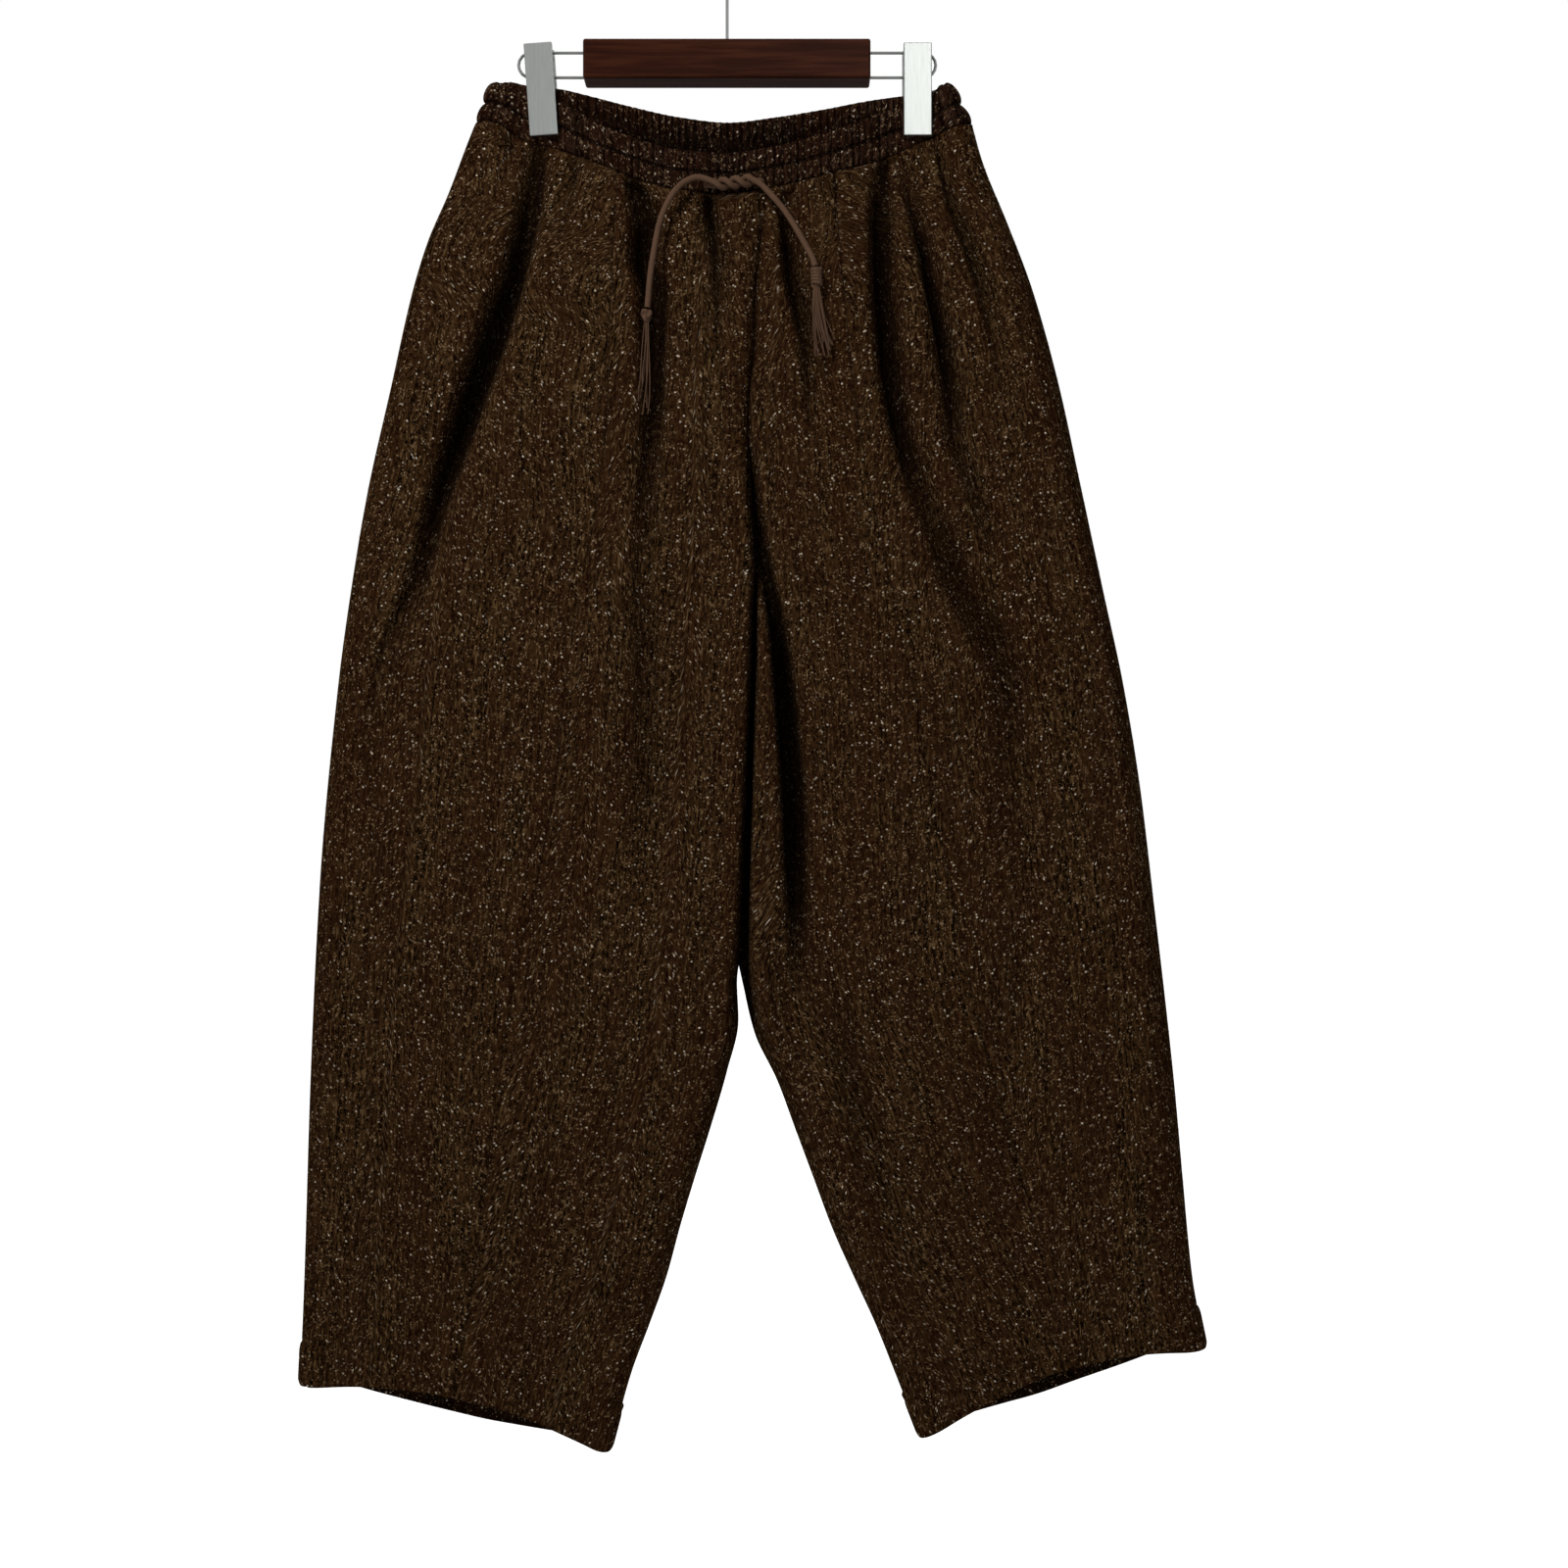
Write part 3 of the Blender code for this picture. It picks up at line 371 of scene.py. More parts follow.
for side, (leaving, start, stop, way, hanging) in DRAWSTRING.items():
    turn = np.linspace(0, 1, 25)[:, None]
    angle = way * 2 * TWIST_TURNS * math.pi * turn
    off = np.hstack([np.zeros_like(angle), np.cos(angle), np.sin(angle)]) * TWIST_RADIUS
    knot = start + (stop - start) * turn + off
    first = smooth_route([*leaving, knot[0]], 1.5)[:-1]
    free = smooth_route([knot[-1], *hanging], 3.0)[1:]
    route = np.vstack([first, knot, free])
    piece = tube("drawstring_" + side + "_cord", [route], CORD_RADIUS, cord.material)
    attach(piece, "root")
    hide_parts("drawstring_" + side)
    # The end is tied in a knot, and what is past it has frayed into its yarns.
    centre, *fringe = TASSELS[side]
    ends = tied_end(side, *centre)
    yarns = frayed_yarns(*centre, *fringe)
    ends.append(tube("tassel_" + side + "_strands", yarns, YARN_RADIUS, cord.material, detail=1))
    for part in ends:
        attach(part, "root")
    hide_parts("tassel_" + side)


# Waist line: one band of the cloth round the waist, lower at the front than at the back, pressed flat
# between the clips' jaws and standing open between them. The panels hang from its lower edge.
WAIST_FRONT = (
    # x top, x seam, y top, y seam, z top, z seam
    (-164.0, -172.5, -4.2, -5.5, -121.0, -150.0),
    (-155.0, -161.0, -4.8, -6.0, -124.0, -153.0),
    (-146.0, -149.0, -1.8, -1.8, -127.0, -161.0),
    (-120.0, -120.0, -1.8, -1.8, -133.5, -169.5),
    (-100.0, -101.0, -5.0, -6.0, -146.0, -177.0),
    (-70.0, -70.0, -9.5, -11.5, -161.0, -191.0),
    (-35.0, -35.0, -12.5, -14.5, -172.0, -202.0),
    (0.0, 0.0, -13.5, -15.5, -175.0, -205.0),
    (35.0, 35.0, -12.5, -14.5, -169.5, -200.0),
    (70.0, 70.0, -9.5, -11.5, -159.0, -190.5),
    (100.0, 101.0, -5.2, -6.5, -147.0, -181.0),
    (122.0, 123.0, -1.8, -1.8, -137.0, -171.5),
    (149.0, 151.0, -1.8, -1.8, -127.0, -158.5),
    (153.0, 162.0, -4.0, -5.6, -124.0, -154.0),
    (156.5, 169.0, -3.6, -5.0, -121.0, -152.0),
)
WAIST_BACK = (
    (156.5, 169.0, 3.6, 5.0, -120.0, -150.0),
    (153.0, 162.0, 4.0, 5.6, -119.5, -149.0),
    (149.0, 151.0, 1.8, 1.8, -124.0, -153.5),
    (122.0, 123.0, 1.8, 1.8, -129.0, -158.5),
    (100.0, 101.0, 5.0, 6.0, -131.0, -161.0),
    (70.0, 70.0, 9.5, 11.5, -135.0, -165.0),
    (35.0, 35.0, 12.5, 14.5, -139.5, -169.5),
    (0.0, 0.0, 13.5, 15.5, -143.0, -173.0),
    (-35.0, -35.0, 12.5, 14.5, -139.5, -169.5),
    (-70.0, -70.0, 9.5, 11.5, -133.0, -163.0),
    (-100.0, -101.0, 5.0, 6.0, -127.0, -157.0),
    (-120.0, -120.0, 1.8, 1.8, -123.5, -153.5),
    (-146.0, -149.0, 1.8, 1.8, -120.5, -150.5),
    (-155.0, -161.0, 4.6, 6.0, -117.5, -148.0),
    (-164.0, -172.5, 4.2, 5.5, -118.5, -149.0),
)
WAIST_ENDS = ((158.5, 173.0, 0.0, 0.0, -120.5, -151.0), (-167.5, -177.0, 0.0, 0.0, -120.0, -149.5))


def waist_ring(count):
    """Even steps round the middle of the band's wall: points on its top edge and on its seam."""
    stations = np.array([WAIST_ENDS[1], *WAIST_FRONT, WAIST_ENDS[0], *WAIST_BACK, WAIST_ENDS[1]])
    length = np.concatenate([[0], np.cumsum(np.linalg.norm(np.diff(stations[:, [0, 2]], axis=0), axis=1))])
    found = follow(np.column_stack([length, stations]), np.arange(count) / count * length[-1])
    return found[[0, 2, 4]].T, found[[1, 3, 5]].T


WAIST_SEAM = waist_ring(224)[1]
WAIST_FACES = {"front": WAIST_SEAM[WAIST_SEAM[:, 1] < 0], "back": WAIST_SEAM[WAIST_SEAM[:, 1] > 0][::-1]}
WAIST_END_ROUND = 6.0


def waist_seam(face, x):
    """(y, z) of the waistband's lower edge at each x."""
    x = np.clip(x, WAIST_ENDS[1][1] + WAIST_END_ROUND, WAIST_ENDS[0][1] - WAIST_END_ROUND)
    edge = WAIST_FACES[face]
    return np.interp(x, edge[:, 0], edge[:, 1]), np.interp(x, edge[:, 0], edge[:, 2])


# Legs: brown woollen tweed in six panels. Each leg has an inner and an outer front, joined down the
# middle of the leg, and one back. They hang in folds from the gathered waist and taper to a turned hem.
CLIP_X = {"left": -132.0, "right": 135.5}
CLIP_FOOT = -160.5
CLIP_GRIP = 4.0
CLIP_HALF = 19.0
PUFF = 4.6
PUFF_RISE = 1.8
PUFF_FADE = 38.0
UNEVEN = 0.35
# The least depth of each wall from the middle of the leg: in a fold, and in a small gather.
LEAST_IN_FOLD = 2.4
LEAST_IN_TUCK = 1.2
# The left leg's edge lies over the right leg's from here down, so it turns in more sharply.
OVERLAP_FROM = -450.0
OVERLAP_ROUND = 0.55
# The cloth gets painted shade along the two legs' edges where they meet, less where they cross.
SHUT_SHADE = 16.0
SHUT_REACH = 4.5
SHUT_FOOT = -960.0
SHUT_FADE = 200.0
CROSSING_Z = -475.0
CROSSING_HALF = 45.0
PARTING = (
    # z, x
    (-204.0, 22.5),
    (-228.0, 24.5),
    (-251.0, 23.0),
    (-279.0, 20.5),
    (-313.0, 20.0),
    (-347.0, 16.5),
    (-381.0, 16.0),
    (-415.0, 17.0),
    (-470.0, 19.0),
    (-516.0, 18.0),
    (-563.0, 16.5),
    (-644.0, 13.0),
    (-713.0, 10.0),
    (-744.0, 8.0),
)
INSIDE_LEG = {
    # z, x
    "left": (
        (-762.0, 6.0),
        (-789.0, 7.0),
        (-825.0, -1.0),
        (-866.0, -13.0),
        (-901.0, -24.0),
        (-936.0, -34.5),
        (-971.0, -44.0),
        (-1006.0, -56.5),
        (-1041.0, -69.5),
        (-1094.0, -84.0),
    ),
    "right": (
        (-762.0, 12.0),
        (-796.0, 20.0),
        (-831.0, 36.5),
        (-866.0, 49.5),
        (-901.0, 62.5),
        (-936.0, 75.5),
        (-971.0, 91.0),
        (-1006.0, 107.0),
        (-1041.0, 121.0),
        (-1085.0, 138.0),
    ),
}
OUTSIDE_LEG = {
    # z, x
    "left": (
        (-149.5, -178.0),
        (-166.0, -184.5),
        (-201.0, -197.5),
        (-236.0, -212.0),
        (-271.0, -222.5),
        (-341.0, -238.0),
        (-411.0, -253.5),
        (-481.0, -265.5),
        (-551.0, -275.0),
        (-691.0, -288.0),
        (-831.0, -295.0),
        (-971.0, -300.0),
        (-1046.0, -303.5),
    ),
    "right": (
        (-151.0, 174.0),
        (-177.0, 181.5),
        (-223.0, 199.5),
        (-271.0, 217.0),
        (-341.0, 236.0),
        (-411.0, 251.0),
        (-481.0, 266.0),
        (-551.0, 281.0),
        (-621.0, 292.5),
        (-691.0, 301.0),
        (-831.0, 317.0),
        (-901.0, 323.5),
        (-971.0, 330.5),
        (-1020.0, 340.0),
    ),
}
# The rows follow the band's edge at the top, straighten by SAG_ENDS and curve again at the hem. HEM_RISE
# is how far the middle of a hem's edge stands above a straight line between its ends.
SAG_ENDS = 0.2
HEM_RISE_FROM = 0.8
HEM_RISE_OVER = 0.2
HEM_RISE = {
    # front, back
    "left": (18.0, -5.0),
    "right": (20.0, -3.5),
}
ROW_ENDS = {
    # drop, z inner, z outer
    "left": (
        (0.0, -204.0, -149.5),
        (0.33, -491.0, -470.0),
        (0.61, -744.0, -725.0),
        (1.0, -1094.0, -1046.0),
    ),
    "right": (
        (0.0, -204.0, -151.0),
        (0.33, -491.0, -465.0),
        (0.61, -744.0, -712.0),
        (1.0, -1085.0, -1020.0),
    ),
}
FULLNESS = (
    # z, front, back, centre depth, inner round, outer round
    (-150.0, 15.0, 15.0, 12.0, 14.0, 12.0),
    (-200.0, 20.0, 20.0, 12.0, 14.0, 15.0),
    (-240.0, 26.0, 26.0, 14.0, 13.0, 19.0),
    (-300.0, 32.0, 33.0, 18.0, 12.0, 23.0),
    (-380.0, 36.0, 39.0, 20.0, 12.0, 26.0),
    (-440.0, 38.0, 41.0, 17.0, 12.0, 27.0),
    (-475.0, 38.0, 41.0, 9.0, 11.0, 28.0),
    (-491.0, 38.0, 41.0, 0.0, 11.0, 28.0),
    (-600.0, 38.0, 40.0, 0.0, 11.0, 28.0),
    (-744.0, 37.0, 38.0, 0.0, 14.0, 28.0),
    (-830.0, 34.0, 35.0, 0.0, 22.0, 27.0),
    (-930.0, 27.0, 28.0, 0.0, 24.0, 24.0),
    (-1040.0, 17.0, 18.0, 0.0, 20.0, 19.0),
    (-1100.0, 14.0, 15.0, 0.0, 18.0, 17.0),
)
# The folds that fall from the gathered waist. Every depth is taken this many times as deep.
FOLD_DEEPER = 1.75
FOLDS = {
    ("left", "front"): {
        # z, x, half width, depth
        "centre tuck": (
            (-196.0, -13.0, 7.0, 7.0),
            (-224.0, -10.0, 7.0, 10.0),
            (-251.0, -5.0, 8.0, 8.0),
            (-279.0, -2.0, 9.0, 6.0),
            (-330.0, 0.0, 9.0, 0.0),
        ),
        "inner fold": (
            (-196.0, -64.0, 12.0, 11.0),
            (-224.0, -56.0, 13.0, 14.0),
            (-251.0, -57.0, 14.0, 15.0),
            (-279.0, -50.0, 14.0, 14.0),
            (-347.0, -50.0, 12.0, 11.0),
            (-381.0, -51.0, 12.0, 9.5),
            (-415.0, -54.0, 13.0, 8.0),
            (-484.0, -56.0, 15.0, 5.5),
            (-620.0, -56.0, 18.0, 4.0),
            (-700.0, -56.0, 20.0, 0.0),
        ),
        "outer fold": (
            (-168.0, -134.0, 12.0, 11.0),
            (-196.0, -136.0, 11.0, 14.0),
            (-256.0, -147.0, 12.0, 17.0),
            (-304.0, -162.0, 15.0, 19.0),
            (-362.0, -181.0, 15.0, 17.0),
            (-435.0, -203.0, 13.0, 12.0),
            (-475.0, -212.0, 13.0, 9.0),
            (-520.0, -230.0, 14.0, 6.0),
            (-560.0, -238.0, 16.0, 4.5),
            (-640.0, -254.0, 14.0, 0.0),
        ),
    },
    ("right", "front"): {
        "flap fold": (
            (-380.0, 19.5, 5.0, 0.0),
            (-411.0, 20.5, 6.5, 7.0),
            (-469.0, 28.0, 8.0, 14.0),
            (-516.0, 36.5, 9.5, 19.0),
            (-563.0, 41.5, 11.0, 22.0),
            (-634.0, 47.0, 12.0, 22.0),
            (-689.0, 49.0, 12.0, 16.0),
            (-725.0, 51.0, 11.0, 8.0),
            (-780.0, 55.0, 11.0, 0.0),
        ),
        "parting gap": (
            (-440.0, 20.0, 3.5, 0.0),
            (-500.0, 19.5, 4.5, 12.0),
            (-563.0, 17.0, 5.2, 20.0),
            (-644.0, 14.5, 5.6, 21.0),
            (-713.0, 13.0, 5.6, 20.0),
            (-750.0, 13.5, 5.6, 14.0),
            (-800.0, 22.0, 6.0, 0.0),
        ),
        "centre tuck": (
            (-199.0, 44.0, 8.0, 5.0),
            (-224.0, 43.0, 8.0, 8.0),
            (-251.0, 45.0, 9.0, 11.0),
            (-279.0, 50.0, 10.0, 10.5),
            (-313.0, 59.0, 11.0, 8.0),
            (-347.0, 63.0, 12.0, 5.0),
            (-400.0, 66.0, 12.0, 0.0),
        ),
        "inner fold": (
            (-185.0, 111.0, 9.0, 9.0),
            (-224.0, 110.0, 12.0, 14.0),
            (-251.0, 110.0, 12.0, 15.0),
            (-313.0, 114.0, 13.0, 15.0),
            (-347.0, 118.0, 13.0, 14.0),
            (-381.0, 125.0, 13.0, 13.0),
            (-415.0, 136.0, 15.0, 9.5),
            (-450.0, 152.0, 18.0, 7.5),
            (-484.0, 166.0, 20.0, 5.5),
            (-518.0, 186.0, 22.0, 3.5),
            (-552.0, 200.0, 22.0, 2.0),
            (-620.0, 206.0, 20.0, 0.0),
        ),
        "outer fold": (
            (-172.0, 124.0, 8.0, 5.0),
            (-224.0, 135.0, 8.0, 11.0),
            (-251.0, 141.0, 8.5, 13.0),
            (-279.0, 146.0, 9.0, 14.0),
            (-313.0, 152.5, 10.0, 13.0),
            (-347.0, 158.0, 11.0, 11.0),
            (-381.0, 162.0, 12.0, 9.0),
            (-415.0, 175.0, 13.0, 8.0),
            (-450.0, 185.0, 14.0, 5.5),
            (-530.0, 200.0, 14.0, 0.0),
        ),
        "side tuck": (
            (-162.0, 151.0, 6.0, 3.0),
            (-210.0, 159.5, 7.0, 8.0),
            (-248.0, 173.0, 9.0, 8.0),
            (-290.0, 186.0, 10.0, 6.0),
            (-370.0, 201.0, 10.0, 0.0),
        ),
    },
    ("left", "back"): {
        "centre tuck": (
            (-172.0, -30.0, 12.0, 5.0),
            (-250.0, -31.0, 14.0, 9.0),
            (-380.0, -34.0, 14.0, 0.0),
        ),
        "inner fold": (
            (-166.0, -84.0, 14.0, 7.0),
            (-270.0, -92.0, 16.0, 13.0),
            (-480.0, -110.0, 16.0, 0.0),
        ),
        "outer fold": (
            (-150.0, -136.0, 11.0, 8.0),
            (-290.0, -160.0, 16.0, 15.0),
            (-420.0, -188.0, 16.0, 8.0),
            (-560.0, -210.0, 16.0, 0.0),
        ),
    },
    ("right", "back"): {
        "centre tuck": ((-171.0, 52.0, 12.0, 6.0), (-250.0, 55.0, 14.0, 11.0), (-420.0, 64.0, 14.0, 0.0)),
        "inner fold": ((-163.0, 100.0, 12.0, 6.0), (-260.0, 108.0, 15.0, 13.0), (-450.0, 128.0, 15.0, 0.0)),
        "outer fold": (
            (-152.0, 140.0, 9.0, 5.0),
            (-270.0, 164.0, 14.0, 12.0),
            (-400.0, 196.0, 15.0, 6.0),
            (-520.0, 214.0, 15.0, 0.0),
        ),
    },
}
LEG_SEAM = {
    # z, x
    "left": (
        (-200.0, -77.0),
        (-290.0, -80.0),
        (-363.0, -82.0),
        (-430.0, -90.0),
        (-489.0, -101.0),
        (-553.0, -111.0),
        (-614.0, -117.0),
        (-678.0, -128.0),
        (-743.0, -143.0),
        (-830.0, -158.0),
        (-902.0, -167.0),
        (-1006.0, -183.0),
        (-1090.0, -202.0),
    ),
    "right": (
        (-188.0, 76.0),
        (-281.0, 83.0),
        (-363.0, 92.0),
        (-430.0, 104.0),
        (-489.0, 117.0),
        (-553.0, 131.0),
        (-614.0, 143.0),
        (-682.0, 155.0),
        (-743.0, 167.0),
        (-796.0, 179.0),
        (-865.0, 199.0),
        (-906.0, 210.0),
        (-972.0, 227.0),
        (-1060.0, 250.0),
    ),
}
# Wide shallow troughs in the hung cloth, beside which it stands in soft ridges.
SWELLS = {
    ("left", "front"): {
        # z, x, half width, depth
        "inner": (
            (-450.0, -60.0, 14.0, 0.0),
            (-520.0, -52.0, 20.0, 5.0),
            (-640.0, -48.0, 24.0, 6.0),
            (-760.0, -58.0, 24.0, 5.0),
            (-880.0, -70.0, 20.0, 0.0),
        ),
        "gusset": (
            (-400.0, -50.0, 10.0, 0.0),
            (-450.0, -41.0, 12.0, 4.0),
            (-484.0, -31.0, 13.0, 6.0),
            (-518.0, -24.0, 13.0, 5.0),
            (-552.0, -19.0, 13.0, 3.0),
            (-600.0, -14.0, 13.0, 0.0),
        ),
        "outer": (
            (-540.0, -236.0, 16.0, 0.0),
            (-640.0, -232.0, 22.0, 4.0),
            (-780.0, -226.0, 24.0, 4.5),
            (-920.0, -232.0, 20.0, 0.0),
        ),
        "calf": (
            (-800.0, -110.0, 16.0, 0.0),
            (-900.0, -118.0, 20.0, 4.0),
            (-1010.0, -134.0, 22.0, 3.0),
            (-1090.0, -146.0, 20.0, 2.0),
        ),
    },
    ("right", "front"): {
        "outer": (
            (-420.0, 140.0, 14.0, 0.0),
            (-484.0, 165.0, 22.0, 7.0),
            (-552.0, 198.0, 26.0, 11.0),
            (-620.0, 201.0, 26.0, 11.0),
            (-690.0, 212.0, 24.0, 8.0),
            (-757.0, 203.0, 22.0, 8.0),
            (-826.0, 204.0, 22.0, 6.0),
            (-910.0, 206.0, 20.0, 0.0),
        ),
        "inner": (
            (-690.0, 60.0, 18.0, 0.0),
            (-757.0, 74.0, 20.0, 9.0),
            (-826.0, 90.0, 18.0, 12.0),
            (-894.0, 111.0, 18.0, 10.0),
            (-1000.0, 142.0, 18.0, 0.0),
        ),
        "crotch": (
            (-690.0, 34.0, 14.0, 0.0),
            (-757.0, 40.0, 16.0, 9.0),
            (-800.0, 50.0, 16.0, 7.0),
            (-860.0, 70.0, 14.0, 0.0),
        ),
        "calf": (
            (-760.0, 178.0, 14.0, 0.0),
            (-860.0, 196.0, 18.0, 5.0),
            (-960.0, 214.0, 20.0, 4.0),
            (-1060.0, 234.0, 18.0, 2.0),
        ),
    },
    ("left", "back"): {
        "middle": (
            (-480.0, -120.0, 18.0, 0.0),
            (-600.0, -136.0, 26.0, 7.0),
            (-780.0, -158.0, 28.0, 6.0),
            (-960.0, -176.0, 24.0, 2.0),
        ),
        "inner": ((-520.0, -44.0, 16.0, 0.0), (-660.0, -52.0, 22.0, 6.0), (-860.0, -84.0, 22.0, 0.0)),
    },
    ("right", "back"): {
        "middle": (
            (-460.0, 130.0, 18.0, 0.0),
            (-600.0, 156.0, 26.0, 8.0),
            (-780.0, 190.0, 28.0, 6.0),
            (-960.0, 226.0, 24.0, 2.0),
        ),
        "inner": ((-540.0, 66.0, 16.0, 0.0), (-680.0, 84.0, 22.0, 6.0), (-880.0, 118.0, 22.0, 0.0)),
    },
}
SIDE_SEAM_IN = 7.0
SIDE_SEAM_FACE = {"left": "front", "right": "back"}
# Small gathers that the elastic draws up under the band. They are narrow, so their depth counts TUCK_SHADOW
# times into the painted shade, more than a fold as deep.
TUCK_LEAN = 0.10
TUCK_SHADOW = 2.2
TUCKS = {
    # x, half width, depth, length
    ("left", "front"): (
        (-152.0, 3.4, 3.0, 46.0),
        (-120.0, 3.0, 2.4, 30.0),
        (-106.0, 4.4, 7.5, 110.0),
        (-96.0, 3.0, 2.4, 34.0),
        (-84.0, 3.2, 2.4, 30.0),
        (-46.0, 3.4, 3.4, 40.0),
        (-36.0, 3.0, 2.4, 28.0),
        (-25.5, 3.0, 4.8, 26.0),
        (-13.5, 3.4, 6.0, 40.0),
        (-3.0, 3.0, 3.0, 34.0),
        (8.0, 3.2, 3.2, 44.0),
    ),
    ("right", "front"): (
        (33.0, 3.0, 3.4, 40.0),
        (48.0, 3.0, 3.0, 34.0),
        (64.0, 3.2, 3.2, 44.0),
        (76.5, 3.4, 6.5, 44.0),
        (87.0, 3.0, 2.4, 26.0),
        (112.0, 3.2, 3.4, 38.0),
        (140.0, 3.0, 2.4, 30.0),
        (148.5, 3.2, 3.8, 30.0),
    ),
    ("left", "back"): (
        (-150.0, 3.4, 1.8, 34.0),
        (-118.0, 3.4, 2.4, 50.0),
        (-102.0, 3.2, 1.8, 30.0),
        (-68.0, 3.4, 2.4, 46.0),
        (-54.0, 3.2, 1.6, 26.0),
        (-42.0, 3.2, 2.0, 36.0),
        (-12.0, 3.2, 1.8, 40.0),
        (6.0, 3.2, 1.6, 28.0),
    ),
    ("right", "back"): (
        (32.0, 3.2, 1.8, 30.0),
        (66.0, 3.4, 2.4, 48.0),
        (78.0, 3.2, 1.6, 28.0),
        (90.0, 3.2, 1.8, 36.0),
        (118.0, 3.4, 2.2, 44.0),
        (128.0, 3.2, 1.6, 26.0),
        (152.0, 3.2, 1.8, 36.0),
    ),
}


def eased(t):
    t = np.clip(t, 0.0, 1.0)
    return t * t * (3 - 2 * t)


def quarter_round(distance, radius):
    """0 at the edge and 1 once past the radius, as the side of an ellipse."""
    t = np.clip(distance / radius, 0.0, 1.0)
    return np.sqrt(1 - (1 - t) ** 2)


def inner_edge(side, z):
    """The line where the two legs meet, and below it the leg's own inside."""
    below = (PARTING[-1], *INSIDE_LEG[side])
    return np.where(z > PARTING[-1][0], follow(PARTING, z), follow(below, z))


def row_ends(side, drop):
    """Both ends of a row of cloth, drop 0 at the band and 1 at the hem."""
    z_inner, z_outer = follow(ROW_ENDS[side], drop)
    return inner_edge(side, z_inner), z_inner, follow(OUTSIDE_LEG[side], z_outer), z_outer


def front_view(side, face, share, drop):
    """(x, z) of the wall, share 0 at the inner edge of its row and 1 at the side fold."""
    x_inner, z_inner, x_outer, z_outer = row_ends(side, drop)
    x = x_inner + (x_outer - x_inner) * share
    z = z_inner + (z_outer - z_inner) * share
    top_inner, top_outer = row_ends(side, np.array(0.0))[1::2]
    sag = waist_seam(face, x)[1] - (top_inner + (top_outer - top_inner) * share)
    z = z + sag * (1 - eased(drop / SAG_ENDS))
    rise = HEM_RISE[side][0 if face == "front" else 1]
    return x, z + rise * 4 * share * (1 - share) * eased((drop - HEM_RISE_FROM) / HEM_RISE_OVER)


def fold_depth(side, face, x, z):
    """A fold's left side drops steeply and its right side opens in a softer slope."""
    depth = np.zeros_like(x)
    for rows in FOLDS[side, face].values():
        centre, half, deep = follow(rows, z)
        reach = (x - centre) / half
        fall = np.where(reach < 0, 3.4 * reach ** 4, 1.9 * np.abs(reach) ** 2.3)
        fold = deep * FOLD_DEEPER * np.exp(-fall)
        depth += np.where((z >= min(rows)[0]) & (np.abs(reach) < 2.0), fold, 0.0)
    return depth


def swell_depth(side, face, x, z):
    """A swell is as soft on both its sides."""
    depth = np.zeros_like(x)
    for rows in SWELLS[side, face].values():
        centre, half, deep = follow(rows, z)
        reach = (x - centre) / half
        depth += deep * np.exp(-1.4 * reach * reach)
    return depth


def tuck_depth(side, face, x, z):
    """Small gathers lean outwards as they run down from the band."""
    fallen = waist_seam(face, x)[1] - z
    lean = TUCK_LEAN if side == "right" else -TUCK_LEAN
    depth = np.zeros_like(x)
    for centre, half, deep, length in TUCKS[side, face]:
        reach = (x - centre - lean * fallen) / (half * (1 + 0.5 * fallen / length))
        depth += deep * np.exp(-reach * reach) * (1 - eased(fallen / length))
    return depth


def wall(side, face, share, drop):
    """Points of the outer face of the cloth, from the same sizes as the solids."""
    x, z = front_view(side, face, share, drop)
    x_inner, _, x_outer, _ = row_ends(side, drop)
    width = np.abs(x_outer - x_inner)
    inside, outside = share * width, (1 - share) * width
    front, back, centre, inner_round, outer_round = follow(FULLNESS, z)
    full = front if face == "front" else back
    if (side, face) == ("left", "front"):
        inner_round = np.where(z < OVERLAP_FROM, inner_round * OVERLAP_ROUND, inner_round)
    rounded = centre / full + (1 - centre / full) * quarter_round(inside, inner_round)
    side_round = quarter_round(outside, outer_round)
    seam_y, seam_z = waist_seam(face, x)
    seam = (np.abs(seam_y) + 0.8) * quarter_round(outside, WAIST_END_ROUND)
    from_seam = 1 - (1 - np.clip(drop / 0.1, 0, 1)) ** 2
    base = seam + (full * rounded * side_round - seam) * from_seam
    # The top edge itself is sewn to the band, so the folds start just under it.
    sewn = eased(drop / 0.006)
    near_band = (0.8 + 0.2 * eased(drop / 0.03)) * sewn
    depth = fold_depth(side, face, x, z) * side_round * near_band
    depth += swell_depth(side, face, x, z) * side_round
    # Between the gathers the cloth puffs out over the band's seam.
    fallen = np.maximum(seam_z - z, 0.0)
    base = base + PUFF * (1 - np.exp(-fallen / PUFF_RISE)) * np.exp(-fallen / PUFF_FADE) * side_round
    # However deep the folds are, the wall keeps clear of the one behind it.
    least = np.minimum(base, LEAST_IN_FOLD)
    spare = base - depth - least
    held = np.where(depth > 0.01, least + 0.5 * (spare + np.sqrt(spare * spare + 2.0)), base)
    # The clips' jaws press the cloth flat, and it swells out beside and below them.
    beside = eased((np.abs(x - CLIP_X[side]) - CLIP_HALF) / 16.0)
    below = eased((CLIP_FOOT - 6.0 - z) / 18.0)
    limit = CLIP_GRIP + 30.0 * np.maximum(beside, below)
    held = np.minimum(np.minimum(held, base), limit)
    small = tuck_depth(side, face, x, z) * eased(outside / 18.0) * sewn
    # Soft unevenness of hung cloth, under a millimetre.
    wave = np.sin(x * 0.093 + z * 0.021) * np.sin(z * 0.047 - x * 0.013)
    small += UNEVEN * (1 + wave) * eased(inside / 20.0) * eased(outside / 25.0)
    held = np.maximum(held - small, np.minimum(held, LEAST_IN_TUCK))
    return np.stack([x, -held if face == "front" else held, z], axis=-1)


